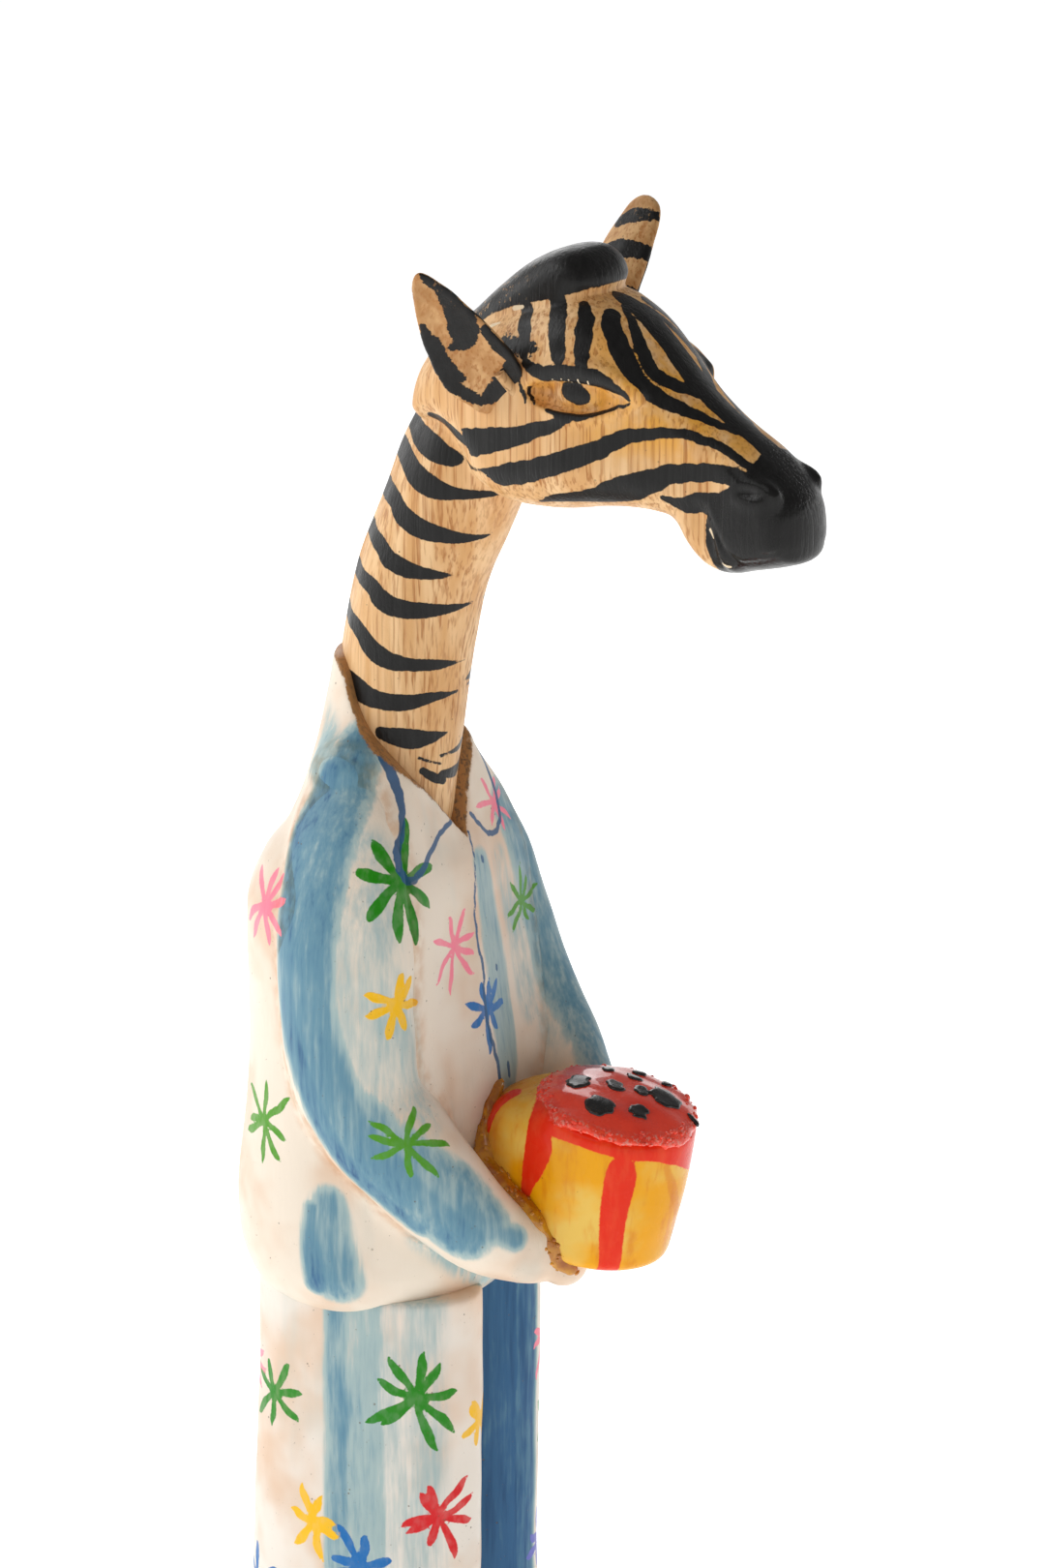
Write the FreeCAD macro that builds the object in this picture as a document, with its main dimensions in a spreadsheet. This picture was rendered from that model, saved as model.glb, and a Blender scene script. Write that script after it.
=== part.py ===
"""Carved and painted wooden figure: a zebra in pyjamas that holds a small iced cake.

Millimetres, +Z up. The figure stands on its soles at z = 0 and faces -Y, so its own
right side is -X. The origin is the bottom centre of the bounding box. Its trouser axis
stands at (body_axis_x, body_axis_y), and the head is turned about its own pivot.
"""
import FreeCAD, Part
import math
import os

from FreeCAD import Placement, Rotation, Vector

doc = FreeCAD.newDocument("carved_zebra_figure")

# ---------------------------------------------------------------- driving dimensions
# Lofted pieces are rows of stations. Upright ones hold: height, half width (X),
# half depth (Y) and the centre's offset in Y from the trouser axis.
UPRIGHT = ("height", "half_x", "half_y", "offset_y")
JACKET = {
    "hem": (214, 42, 37.5, 4.9),
    "skirt": (219, 46, 41.3, 4.9),
    "hip": (240, 46, 41, 4.9),
    "waist": (271, 44, 38, 4.5),
    "belly": (300, 42.5, 35.5, 5.5),
    "chest": (330, 43, 33.5, 7.3),
    "shoulder": (342, 39.5, 30.5, 6),
    "slope": (353, 34, 24.5, 4),
    "yoke": (367, 27, 20.2, 3),
    "collar": (383, 22, 18.7, 0.8),
    "rim": (398, 20, 18, -1.5),
}
LEG = {
    "cuff": (20, 19.3, 36.2, 2.9),
    "shin": (115, 19.4, 35.9, 2.7),
    "thigh": (200, 19.4, 34.4, 0),
    "top": (214, 19.4, 34.4, 0),
}
NECK = {
    "tenon": (345, 17.4, 17.4, 2.2),
    "seat": (368, 17.8, 17.8, 0.4),
    "base": (392, 17.8, 17.8, -2.8),
    "middle": (418, 17.5, 17.5, -8.2),
    "throat": (440, 17.4, 17.4, -16.2),
    "poll": (458, 17, 17, -23),
}

# An arm's stations lie on the line from the shoulder, round the elbow, to the hand:
# sideways distance from the middle, offset in Y, height, half thickness, half breadth.
# The left arm reaches further forward and holds the cake higher than the right one.
BENT = ("out_x", "offset_y", "height", "half_thick", "half_broad")
ARMS = {
    "right": {
        "shoulder": (25, 2, 369, 7, 10),
        "deltoid": (31, 0, 356, 10.5, 16),
        "upper": (37, -3, 333, 13, 20),
        "middle": (39, -4, 308, 13.5, 20),
        "elbow": (39.5, -8, 284, 13.5, 19),
        "bend": (37, -24, 264, 13, 16.5),
        "forearm": (31, -40, 246, 11.5, 13),
        "wrist": (22, -51, 237, 9.5, 10),
        "hand": (14, -58, 232, 6, 6.5),
    },
    "left": {
        "shoulder": (25, 2, 366, 7, 10),
        "deltoid": (31, -2, 352, 10.5, 16),
        "upper": (37, -7, 332, 13, 20),
        "middle": (39, -11.5, 309, 13.5, 21.5),
        "elbow": (39, -19, 290, 13.5, 20),
        "bend": (36, -31, 273, 13, 17),
        "forearm": (31, -43, 260, 11.5, 13.5),
        "wrist": (24, -53, 250, 10, 11),
        "hand": (17, -60, 245, 6.5, 7),
    },
}

# The head's stations run from the nape to the nose, in the head's own frame: distance
# forward of the pivot, height, half height, half width and nose-down tilt in degrees.
SNOUT = ("forward", "height", "half_high", "half_wide", "tilt")
HEAD = {
    "nape": (-6, 468, 9, 9, 0),
    "skull": (10, 471, 21, 20, 0),
    "cranium": (32, 474, 25, 24, 0),
    "eyes": (56, 474, 24, 22, 0),
    "brow": (73, 471.5, 19.5, 18, 8),
    "bridge": (84, 465, 14.5, 14.5, 25),
    "muzzle": (95, 456, 15.5, 13.5, 38),
    "nostrils": (104.5, 450.5, 13.5, 13.2, 42),
    "tip": (110.5, 446.5, 8, 8, 45),
}

SIZES = {
    "body_axis_x": 2.48,
    "body_axis_y": 41.17,
    "leg_spacing": 39.2,
    "foot_length": 62,
    "foot_width": 37.5,
    "foot_height": 20,
    "foot_forward": 3,
    "foot_rounding": 6,
    "neckline_drop": 49,
    "neckline_half_width": 30,
    "neckline_back": 4,
    "pivot_forward": 15,
    "head_yaw": 10,
    "forelock_forward": 38,
    "forelock_height": 499,
    "forelock_half_length": 23,
    "forelock_half_width": 11.5,
    "forelock_half_height": 18,
    "forelock_rise": 20,
    "ear_root_out": 20,
    "ear_root_forward": 38.5,
    "ear_root_height": 482,
    "ear_tip_out": 52.8,
    "ear_tip_forward": 29.5,
    "ear_tip_height": 520.4,
    "ear_half_width": 10.8,
    "ear_half_thick": 4.8,
    "ear_hollow_offset": 4.4,
    "cake_forward": 60,
    "cake_base_height": 235,
    "cake_tilt": 11,
    "cake_bottom_radius": 21.6,
    "cake_top_radius": 23.4,
    "cake_tall": 36,
    "cake_rounding": 2,
    "icing_radius": 22.6,
    "icing_dome": 6.5,
    "chip_size": 5,
    "glue_radius": 2.4,
    "neck_dowel_radius": 4,
    "neck_dowel_length": 50,
    "neck_dowel_base": 318,
    "leg_dowel_radius": 4,
    "leg_dowel_length": 40,
    "foot_dowel_radius": 3,
    "foot_dowel_length": 24,
    "arm_dowel_radius": 3,
    "arm_dowel_length": 26,
    "arm_dowel_height": 338,
    "arm_dowel_start": 20,
    "cake_dowel_radius": 3,
    "cake_dowel_length": 26,
    "cake_dowel_height": 252,
    "ear_dowel_radius": 1.5,
    "ear_dowel_length": 14,
}

# Each chip's place on the icing: direction round the cake, distance from its middle as
# a share of the icing's radius, and the turn of the chip on its own axis, in degrees.
CHIPS = (
    (205, 0.42, 20),
    (262, 0.18, 65),
    (170, 0.74, 40),
    (228, 0.80, 10),
    (285, 0.62, 35),
    (318, 0.30, 80),
    (342, 0.72, 15),
    (20, 0.48, 50),
    (62, 0.78, 25),
    (110, 0.55, 70),
    (135, 0.15, 5),
    (248, 0.52, 85),
)

# The glue bead's course round the near back of the cake: sideways, offset in Y, height.
GLUE_COURSE = {
    "top": (-11, -41, 270),
    "upper": (-17, -42, 262),
    "lower": (-19.5, -46, 252),
    "foot": (-17, -51, 243),
}


# ---------------------------------------------------------------- spreadsheet helpers
def fill_sheet(page, sizes):
    """Write each size beside its name and give its cell that name as alias."""
    for row, (alias, value) in enumerate(sizes.items(), start=1):
        page.set(f"A{row}", alias)
        page.set(f"B{row}", f"{value:g}")
        page.setAlias(f"B{row}", alias)


def station_sizes(part, quantities, stations):
    """Name every quantity of every station of one lofted part."""
    return {
        f"{part}_{station}_{quantity}": value
        for station, values in stations.items()
        for quantity, value in zip(quantities, values)
    }


sheet = doc.addObject("Spreadsheet::Sheet", "Sizes")
all_sizes = dict(SIZES)
all_sizes.update(station_sizes("jacket", UPRIGHT, JACKET))
all_sizes.update(station_sizes("leg", UPRIGHT, LEG))
all_sizes.update(station_sizes("neck", UPRIGHT, NECK))
for side, stations in ARMS.items():
    all_sizes.update(station_sizes(f"arm_{side}", BENT, stations))
all_sizes.update(station_sizes("head", SNOUT, HEAD))
all_sizes.update(station_sizes("glue", ("x", "offset_y", "height"), GLUE_COURSE))
fill_sheet(sheet, all_sizes)
doc.recompute()


def size(alias):
    """The number in the cell that has this alias."""
    return float(sheet.get(alias))


def bind(feature, **expressions):
    """Bind properties of a feature to expressions; a double underscore stands for a dot."""
    for name, expression in expressions.items():
        feature.setExpression(name.replace("__", "."), expression)
    return feature


def on_body_axis(feature, out="0 mm", offset="0 mm", up="0 mm"):
    """Place a feature relative to the foot of the trouser axis."""
    return bind(
        feature,
        Placement__Base__x=f"Sizes.body_axis_x * 1 mm + {out}",
        Placement__Base__y=f"Sizes.body_axis_y * 1 mm + {offset}",
        Placement__Base__z=up,
    )


def mm(alias):
    """An expression for a length in the sheet."""
    return f"Sizes.{alias} * 1 mm"


# ---------------------------------------------------------------- shape helpers
UPRIGHT_TURN = Rotation(Vector(0, 0, 1), 90)


def ellipse(name, major, minor, rotation):
    """A flat ellipse; major and minor are the aliases of its half axes."""
    section = doc.addObject("Part::Ellipse", name)
    section.Placement = Placement(Vector(0, 0, 0), rotation)
    return bind(section, MajorRadius=f"Sizes.{major}", MinorRadius=f"Sizes.{minor}")


def loft(name, sections):
    """A smooth solid through closed sections."""
    solid = doc.addObject("Part::Loft", name)
    solid.Sections = sections
    solid.Solid = True
    solid.Ruled = False
    return solid


def upright_loft(name, part, stations, centre_x="0 mm", deep=False):
    """A loft through level ellipses that stand one above another."""
    sections = []
    for station in stations:
        key = f"{part}_{station}"
        major, minor = ("half_y", "half_x") if deep else ("half_x", "half_y")
        rotation = UPRIGHT_TURN if deep else Rotation()
        section = ellipse(f"{name}_{station}", f"{key}_{major}", f"{key}_{minor}", rotation)
        on_body_axis(section, centre_x, mm(f"{key}_offset_y"), mm(f"{key}_height"))
        sections.append(section)
    return loft(name, sections)


def cylinder(name, radius, length, rotation=None):
    """A cylinder along local Z; radius and length are aliases."""
    rod = doc.addObject("Part::Cylinder", name)
    rod.Placement = Placement(Vector(0, 0, 0), rotation or Rotation())
    return bind(rod, Radius=f"Sizes.{radius}", Height=f"Sizes.{length}")


def join(name, shapes):
    """The union of several features."""
    union = doc.addObject("Part::MultiFuse", name)
    union.Shapes = shapes
    union.Refine = False
    return union


def carve(name, base, tools):
    """The base less each tool in turn."""
    for index, tool in enumerate(tools):
        step = doc.addObject("Part::Cut", f"{name}_less_{index}")
        step.Base = base
        step.Tool = tool
        step.Refine = False
        base = step
    return base


def group(name, members):
    """Several separate solids that make one sub-part."""
    bundle = doc.addObject("Part::Compound", name)
    bundle.Links = members
    return bundle


def frame_rotation(along, facing):
    """The rotation that takes local Z to `along` and local Y close to `facing`."""
    z_axis = Vector(along).normalize()
    x_axis = Vector(facing).cross(z_axis).normalize()
    y_axis = z_axis.cross(x_axis)
    return Rotation(x_axis, y_axis, z_axis, "ZYX")


def on_head(local):
    """A placement in the head's frame, carried to the figure's frame."""
    pivot = Vector(size("body_axis_x"), size("body_axis_y") - size("pivot_forward"), 0)
    yaw = Rotation(Vector(0, 0, 1), -size("head_yaw"))
    return Placement(pivot, yaw).multiply(local)


subparts = {}


def keep(feature, label):
    """Register a finished feature as the sub-part with this label."""
    feature.Label = label
    subparts[label] = feature
    return feature


# ---------------------------------------------------------------- dowels
SIDES = {"right": -1, "left": 1}


def leg_centre(side):
    """The expression for a leg's sideways place."""
    return f"{SIDES[side]} * Sizes.leg_spacing * 0.5 mm"


def upright_dowel(name, kind, side, base_height, offset):
    """A dowel that stands in one leg."""
    rod = cylinder(name, f"{kind}_radius", f"{kind}_length")
    return on_body_axis(rod, leg_centre(side), offset, base_height)


neck_dowel = cylinder("neck_dowel_rod", "neck_dowel_radius", "neck_dowel_length")
on_body_axis(neck_dowel, "0 mm", mm("neck_tenon_offset_y"), mm("neck_dowel_base"))

leg_dowels = {
    side: upright_dowel(
        f"leg_dowel_{side}",
        "leg_dowel",
        side,
        f"{mm('leg_top_height')} - {mm('leg_dowel_length')} / 2",
        mm("leg_top_offset_y"),
    )
    for side in SIDES
}
foot_dowels = {
    side: upright_dowel(
        f"foot_dowel_{side}",
        "foot_dowel",
        side,
        f"{mm('foot_height')} - {mm('foot_dowel_length')} / 2",
        mm("leg_cuff_offset_y"),
    )
    for side in SIDES
}
arm_dowels = {}
for side, sign in SIDES.items():
    rod = cylinder(
        f"arm_dowel_{side}",
        "arm_dowel_radius",
        "arm_dowel_length",
        Rotation(Vector(0, 1, 0), 90 * sign),
    )
    arm_dowels[side] = on_body_axis(
        rod, f"{sign} * {mm('arm_dowel_start')}", "0 mm", mm("arm_dowel_height")
    )

cake_dowel = cylinder(
    "cake_dowel_rod", "cake_dowel_radius", "cake_dowel_length", Rotation(Vector(1, 0, 0), 90)
)
on_body_axis(
    cake_dowel,
    "0 mm",
    f"{mm('cake_dowel_length')} / 2 - ({mm('cake_forward')} - {mm('cake_top_radius')}) + 3 mm",
    mm("cake_dowel_height"),
)


# ---------------------------------------------------------------- head and neck
def head_section(station):
    """One upright section of the head, tipped nose-down by its own angle."""
    key = f"head_{station}"
    section = ellipse(f"{key}_section", f"{key}_half_high", f"{key}_half_wide", Rotation())
    tilt = size(f"{key}_tilt")
    facing = Vector(0, -math.cos(math.radians(tilt)), -math.sin(math.radians(tilt)))
    section.Placement = Placement(
        Vector(0, -size(f"{key}_forward"), size(f"{key}_height")),
        frame_rotation(facing, Vector(1, 0, 0)),
    )
    return bind(
        section,
        Placement__Base__y=f"-{mm(key + '_forward')}",
        Placement__Base__z=mm(f"{key}_height"),
    )


skull = loft("skull", [head_section(station) for station in HEAD])
forelock = doc.addObject("Part::Ellipsoid", "forelock")
forelock.Placement = Placement(Vector(0, 0, 0), Rotation(Vector(1, 0, 0), -size("forelock_rise")))
bind(
    forelock,
    Radius1="Sizes.forelock_half_height",
    Radius2="Sizes.forelock_half_width",
    Radius3="Sizes.forelock_half_length",
    Placement__Base__y=f"-{mm('forelock_forward')}",
    Placement__Base__z=mm("forelock_height"),
)
face = join("face", [skull, forelock])
face.Placement = on_head(Placement())

neck = upright_loft("neck", "neck", NECK)
head_block = join("head_block", [face, neck])


# ---------------------------------------------------------------- ears
def ear_frame(side):
    """The ear's root, the rotation that lays its length along Z, and its length."""
    sign = SIDES[side]
    root = Vector(sign * size("ear_root_out"), -size("ear_root_forward"), size("ear_root_height"))
    tip = Vector(sign * size("ear_tip_out"), -size("ear_tip_forward"), size("ear_tip_height"))
    opening = Vector(sign, -0.35, 0)
    return root, frame_rotation(tip - root, opening), (tip - root).Length


def ear_leaf(side):
    """A leaf with a hollow inner face, before its root is fitted to the head."""
    root, rotation, length = ear_frame(side)
    middle = Placement(root, rotation).multiply(Placement(Vector(0, 0, length / 2), Rotation()))
    leaf = bind(
        doc.addObject("Part::Ellipsoid", f"ear_leaf_{side}"),
        Radius2="Sizes.ear_half_width",
        Radius3="Sizes.ear_half_thick",
    )
    leaf.Radius1 = length / 2
    leaf.Placement = on_head(middle)
    hollow = bind(
        doc.addObject("Part::Ellipsoid", f"ear_hollow_{side}"),
        Radius2="Sizes.ear_half_width * 0.72",
        Radius3="Sizes.ear_half_thick * 0.8",
    )
    hollow.Radius1 = length * 0.38
    inset = Placement(Vector(0, size("ear_hollow_offset"), length * 0.03), Rotation())
    hollow.Placement = on_head(middle.multiply(inset))
    return carve(f"ear_shape_{side}", leaf, [hollow])


def ear_dowel(side):
    """The short peg that pins an ear to the head."""
    root, rotation, _ = ear_frame(side)
    rod = cylinder(f"ear_dowel_{side}", "ear_dowel_radius", "ear_dowel_length")
    inset = Placement(Vector(0, 0, -size("ear_dowel_length") / 3), Rotation())
    rod.Placement = on_head(Placement(root, rotation).multiply(inset))
    return rod


ear_dowels = {side: ear_dowel(side) for side in SIDES}
for side in SIDES:
    ear = carve(f"ear_{side}_fitted", ear_leaf(side), [face, ear_dowels[side]])
    keep(ear, f"ear_{side}")

head_pegs = [neck_dowel] + list(ear_dowels.values())
keep(carve("head_pegged", head_block, head_pegs), "head_and_neck")

# ---------------------------------------------------------------- jacket
jacket_block = upright_loft("jacket_block", "jacket", JACKET)
neckline = doc.addObject("Part::Wedge", "neckline_cutter")
neckline.Placement = Placement(Vector(0, 0, 0), Rotation(Vector(1, 0, 0), 90))
bind(
    neckline,
    Xmin="-0.2",
    Xmax="0.2",
    X2min="-Sizes.neckline_half_width",
    X2max="Sizes.neckline_half_width",
    Ymin="0",
    Ymax="Sizes.neckline_drop + 4",
    Zmin="-Sizes.neckline_back",
    Zmax="60",
    Z2min="-Sizes.neckline_back",
    Z2max="60",
)
on_body_axis(neckline, up=f"{mm('jacket_rim_height')} - {mm('neckline_drop')}")
jacket_tools = [neckline, neck, neck_dowel, cake_dowel]
jacket_tools += list(leg_dowels.values()) + list(arm_dowels.values())
keep(carve("jacket_pegged", jacket_block, jacket_tools), "jacket")

# ---------------------------------------------------------------- cake, icing and chips
cake_turn = Rotation(Vector(1, 0, 0), size("cake_tilt"))


def on_cake(feature):
    """Set a piece on the cake's own tilted axis."""
    feature.Placement = Placement(Vector(0, 0, 0), cake_turn)
    return on_body_axis(feature, "0 mm", f"-{mm('cake_forward')}", mm("cake_base_height"))


def revolved_body(name, outline, curve):
    """A body whose half outline in XZ is turned about Z.

    outline holds the corner points (radius, height) as pairs of expressions; curve is
    None, or the height where the last edge back to the axis bulges as an arc.
    """
    body = doc.addObject("PartDesign::Body", name)
    plane = next(item for item in body.Origin.OriginFeatures if item.Role == "XZ_Plane")
    sketch = body.newObject("Sketcher::SketchObject", f"{name}_outline")
    sketch.AttachmentSupport = [(plane, "")]
    sketch.MapMode = "FlatFace"
    points = [Vector(radius, height, 0) for radius, height in outline]
    for start, end in zip(points, points[1:]):
        sketch.addGeometry(Part.LineSegment(start, end), False)
    if curve is None:
        sketch.addGeometry(Part.LineSegment(points[-1], points[0]), False)
    else:
        start, end = points[-1], Vector(0, curve, 0)
        drop = end.y - start.y
        radius = (start.x**2 + drop**2) / (2 * drop)
        middle_angle = math.pi / 2 - math.asin(start.x / radius) / 2
        middle_x = math.cos(middle_angle) * radius
        middle_y = end.y - radius + math.sin(middle_angle) * radius
        middle = Vector(middle_x, middle_y, 0)
        sketch.addGeometry(Part.Arc(start, middle, end), False)
        sketch.addGeometry(Part.LineSegment(end, points[0]), False)
    turned = body.newObject("PartDesign::Revolution", f"{name}_turned")
    turned.Profile = sketch
    turned.ReferenceAxis = (sketch, ["V_Axis"])
    turned.Angle = 360
    return body


cake_blank = revolved_body(
    "cake_blank",
    [
        (0, 0),
        (size("cake_bottom_radius") - size("cake_rounding"), 0),
        (size("cake_bottom_radius"), size("cake_rounding")),
        (size("cake_top_radius"), size("cake_tall") - size("cake_rounding")),
        (size("cake_top_radius") - size("cake_rounding"), size("cake_tall")),
        (0, size("cake_tall")),
    ],
    None,
)
on_cake(cake_blank)
keep(carve("cake_pegged", cake_blank, [jacket_block, cake_dowel]), "cake")

icing_blank = revolved_body(
    "icing_blank",
    [
        (0, size("cake_tall")),
        (size("icing_radius") - 1, size("cake_tall")),
        (size("icing_radius"), size("cake_tall") + 1),
        (size("icing_radius") - 1, size("cake_tall") + 2),
    ],
    size("cake_tall") + size("icing_dome"),
)
on_cake(icing_blank)


def chip(index, direction, share, turn):
    """One angular chip, half sunk in the icing's dome."""
    angle = math.radians(direction)
    reach = share * size("icing_radius")
    dome = size("icing_dome") - 1.5
    height = size("cake_tall") + 1.5 + dome * (1 - share**2)
    local = Placement(
        Vector(reach * math.cos(angle), reach * math.sin(angle), height),
        Rotation(turn, 18 + turn / 6, -turn / 4),
    )
    block = bind(
        doc.addObject("Part::Wedge", f"chip_{index}"),
        Xmax="Sizes.chip_size",
        Ymax="Sizes.chip_size * 0.6",
        Zmax="Sizes.chip_size * 0.9",
        X2min="Sizes.chip_size * 0.3",
        X2max="Sizes.chip_size * 0.8",
        Z2min="Sizes.chip_size * 0.2",
        Z2max="Sizes.chip_size * 0.7",
    )
    centred = Placement(Vector(-size("chip_size") / 2, -size("chip_size") / 2, 0), Rotation())
    axis_foot = Vector(
        size("body_axis_x"), size("body_axis_y") - size("cake_forward"), size("cake_base_height")
    )
    lie_flat = Placement(Vector(0, 0, 0), Rotation(Vector(1, 0, 0), 90))
    on_cake = Placement(axis_foot, cake_turn).multiply(local)
    block.Placement = on_cake.multiply(centred).multiply(lie_flat)
    return block


chips = group("chips", [chip(index, *place) for index, place in enumerate(CHIPS)])
keep(chips, "chocolate_chips")
keep(carve("icing_fitted", icing_blank, [chips]), "icing")


# ---------------------------------------------------------------- arms
def arm_block(side):
    """A sleeve bent at the elbow, its sections square to its course."""
    sign = SIDES[side]
    names = list(ARMS[side])
    places = {
        name: Vector(
            sign * size(f"arm_{side}_{name}_out_x"),
            size(f"arm_{side}_{name}_offset_y"),
            size(f"arm_{side}_{name}_height"),
        )
        for name in names
    }
    sections = []
    for index, name in enumerate(names):
        before = places[names[max(index - 1, 0)]]
        after = places[names[min(index + 1, len(names) - 1)]]
        course = after - before
        course.x = 0
        key = f"arm_{side}_{name}"
        section = ellipse(
            f"{key}_section",
            f"{key}_half_broad",
            f"{key}_half_thick",
            frame_rotation(course, Vector(1, 0, 0)),
        )
        on_body_axis(
            section,
            f"{sign} * {mm(key + '_out_x')}",
            mm(f"{key}_offset_y"),
            mm(f"{key}_height"),
        )
        sections.append(section)
    return loft(f"arm_block_{side}", sections)


arms = {}
for side in SIDES:
    arm_tools = [jacket_block, cake_blank, arm_dowels[side]]
    arms[side] = keep(carve(f"arm_{side}_fitted", arm_block(side), arm_tools), f"arm_{side}")

# ---------------------------------------------------------------- legs and feet
for side in SIDES:
    leg = upright_loft(f"leg_{side}", "leg", LEG, leg_centre(side), deep=True)
    pegs = [leg_dowels[side], foot_dowels[side]]
    keep(carve(f"leg_{side}_pegged", leg, pegs), f"trouser_leg_{side}")


def foot_body(side):
    """A round-ended shoe of one thickness with a softened upper edge."""
    body = doc.addObject("PartDesign::Body", f"foot_body_{side}")
    plane = next(item for item in body.Origin.OriginFeatures if item.Role == "XY_Plane")
    sketch = body.newObject("Sketcher::SketchObject", f"foot_outline_{side}")
    sketch.AttachmentSupport = [(plane, "")]
    sketch.MapMode = "FlatFace"
    outline = Part.Ellipse(Vector(0, 0, 0), size("foot_length") / 2, size("foot_width") / 2)
    outline.rotate(Placement(Vector(0, 0, 0), Vector(0, 0, 1), 90))
    sketch.addGeometry(outline, False)
    pad = body.newObject("PartDesign::Pad", f"foot_pad_{side}")
    pad.Profile = sketch
    bind(pad, Length=mm("foot_height"))
    doc.recompute()
    upper = [
        f"Edge{index}"
        for index, edge in enumerate(pad.Shape.Edges, start=1)
        if edge.BoundBox.ZMin > size("foot_height") - 0.01
    ]
    rounding = body.newObject("PartDesign::Fillet", f"foot_rounding_{side}")
    rounding.Base = (pad, upper)
    bind(rounding, Radius=mm("foot_rounding"))
    forward = f"{mm('leg_cuff_offset_y')} - {mm('foot_forward')}"
    return on_body_axis(body, leg_centre(side), forward)


for side in SIDES:
    keep(carve(f"foot_{side}_pegged", foot_body(side), [foot_dowels[side]]), f"foot_{side}")

# ---------------------------------------------------------------- glue bead
glue_sections = []
for station in GLUE_COURSE:
    bead_ring = doc.addObject("Part::Ellipse", f"glue_{station}_section")
    across_bead = frame_rotation(Vector(0, -0.3, -1), Vector(1, 0, 0))
    bead_ring.Placement = Placement(Vector(0, 0, 0), across_bead)
    bind(bead_ring, MajorRadius="Sizes.glue_radius", MinorRadius="Sizes.glue_radius")
    on_body_axis(
        bead_ring,
        mm(f"glue_{station}_x"),
        mm(f"glue_{station}_offset_y"),
        mm(f"glue_{station}_height"),
    )
    glue_sections.append(bead_ring)
glue = carve("glue_fitted", loft("glue_rope", glue_sections), [cake_blank, jacket_block, arms["right"]])
keep(glue, "glue_bead")

# ---------------------------------------------------------------- dowels as sub-parts
keep(group("neck_dowel_set", [neck_dowel]), "neck_dowel")
keep(group("cake_dowel_set", [cake_dowel]), "cake_dowel")
keep(group("ear_dowel_set", list(ear_dowels.values())), "ear_dowels")
keep(group("arm_dowel_set", list(arm_dowels.values())), "arm_dowels")
keep(group("leg_dowel_set", list(leg_dowels.values())), "leg_dowels")
keep(group("foot_dowel_set", list(foot_dowels.values())), "foot_dowels")


# ---------------------------------------------------------------- check and write
def check_document():
    """Stop unless every feature was computed and every sub-part is a valid solid."""
    for feature in doc.Objects:
        if {"Invalid", "Error"} & set(feature.State):
            raise RuntimeError(f"{feature.Name} failed: {feature.State}")
    for label, feature in subparts.items():
        shape = feature.Shape
        if shape.isNull() or not shape.isValid() or not shape.Solids:
            raise RuntimeError(f"{label} isn't a valid solid")
        print(f"{label:20s} solids {len(shape.Solids)}  volume {shape.Volume / 1000:8.2f} cm3")


def report_box():
    """Print the whole figure's box, whose bottom centre is the origin."""
    box = FreeCAD.BoundBox()
    for feature in subparts.values():
        box.add(feature.Shape.optimalBoundingBox(True, False))
    print(f"box X {box.XMin:.2f} {box.XMax:.2f}")
    print(f"box Y {box.YMin:.2f} {box.YMax:.2f}")
    print(f"box Z {box.ZMin:.2f} {box.ZMax:.2f}")


doc.recompute()
check_document()
report_box()
os.makedirs("parts", exist_ok=True)
for label, feature in subparts.items():
    feature.Shape.exportStep(os.path.join("parts", f"{label}.step"))
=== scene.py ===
"""A carved and painted wooden zebra in pyjamas that holds a small iced cake.

The pieces are carved as distance fields, skinned into meshes, and painted with stroke
distances stored on their points. Working sizes are millimetres, measured from the foot
of the trouser axis: +Z up, -Y the way the body faces, -X the figure's own right.
"""

import logging
import math
from dataclasses import dataclass, field
from enum import Enum
from typing import Callable, Iterable, Sequence

import bmesh
import bpy
import numpy as np
import openvdb
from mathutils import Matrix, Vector
from mathutils.kdtree import KDTree


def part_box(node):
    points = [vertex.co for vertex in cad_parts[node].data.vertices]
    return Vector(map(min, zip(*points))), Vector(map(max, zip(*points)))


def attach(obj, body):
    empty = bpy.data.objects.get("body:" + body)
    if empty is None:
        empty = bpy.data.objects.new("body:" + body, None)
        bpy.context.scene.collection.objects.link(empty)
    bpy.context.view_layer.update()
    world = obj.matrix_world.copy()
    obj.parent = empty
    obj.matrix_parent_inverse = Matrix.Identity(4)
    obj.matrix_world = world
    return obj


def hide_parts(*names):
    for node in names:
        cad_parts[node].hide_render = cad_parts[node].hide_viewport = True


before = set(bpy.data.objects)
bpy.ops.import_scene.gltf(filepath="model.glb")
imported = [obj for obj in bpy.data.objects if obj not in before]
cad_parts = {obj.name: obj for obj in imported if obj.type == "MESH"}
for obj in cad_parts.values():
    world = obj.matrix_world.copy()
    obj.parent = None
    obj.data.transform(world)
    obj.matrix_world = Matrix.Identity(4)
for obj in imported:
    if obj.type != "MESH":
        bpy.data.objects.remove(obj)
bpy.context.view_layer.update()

log = logging.getLogger("carver")

MM = 0.001
ROOT = "root"
FAR = 6.0
WHITE = (1.0, 1.0, 1.0, 1.0)

Array = np.ndarray
Point = tuple[float, float, float]
Colour = tuple[float, float, float]
Thing = bpy.types.Object
Material = bpy.types.Material
Node = bpy.types.Node
NodeTree = bpy.types.NodeTree
Socket = bpy.types.NodeSocket


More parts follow.
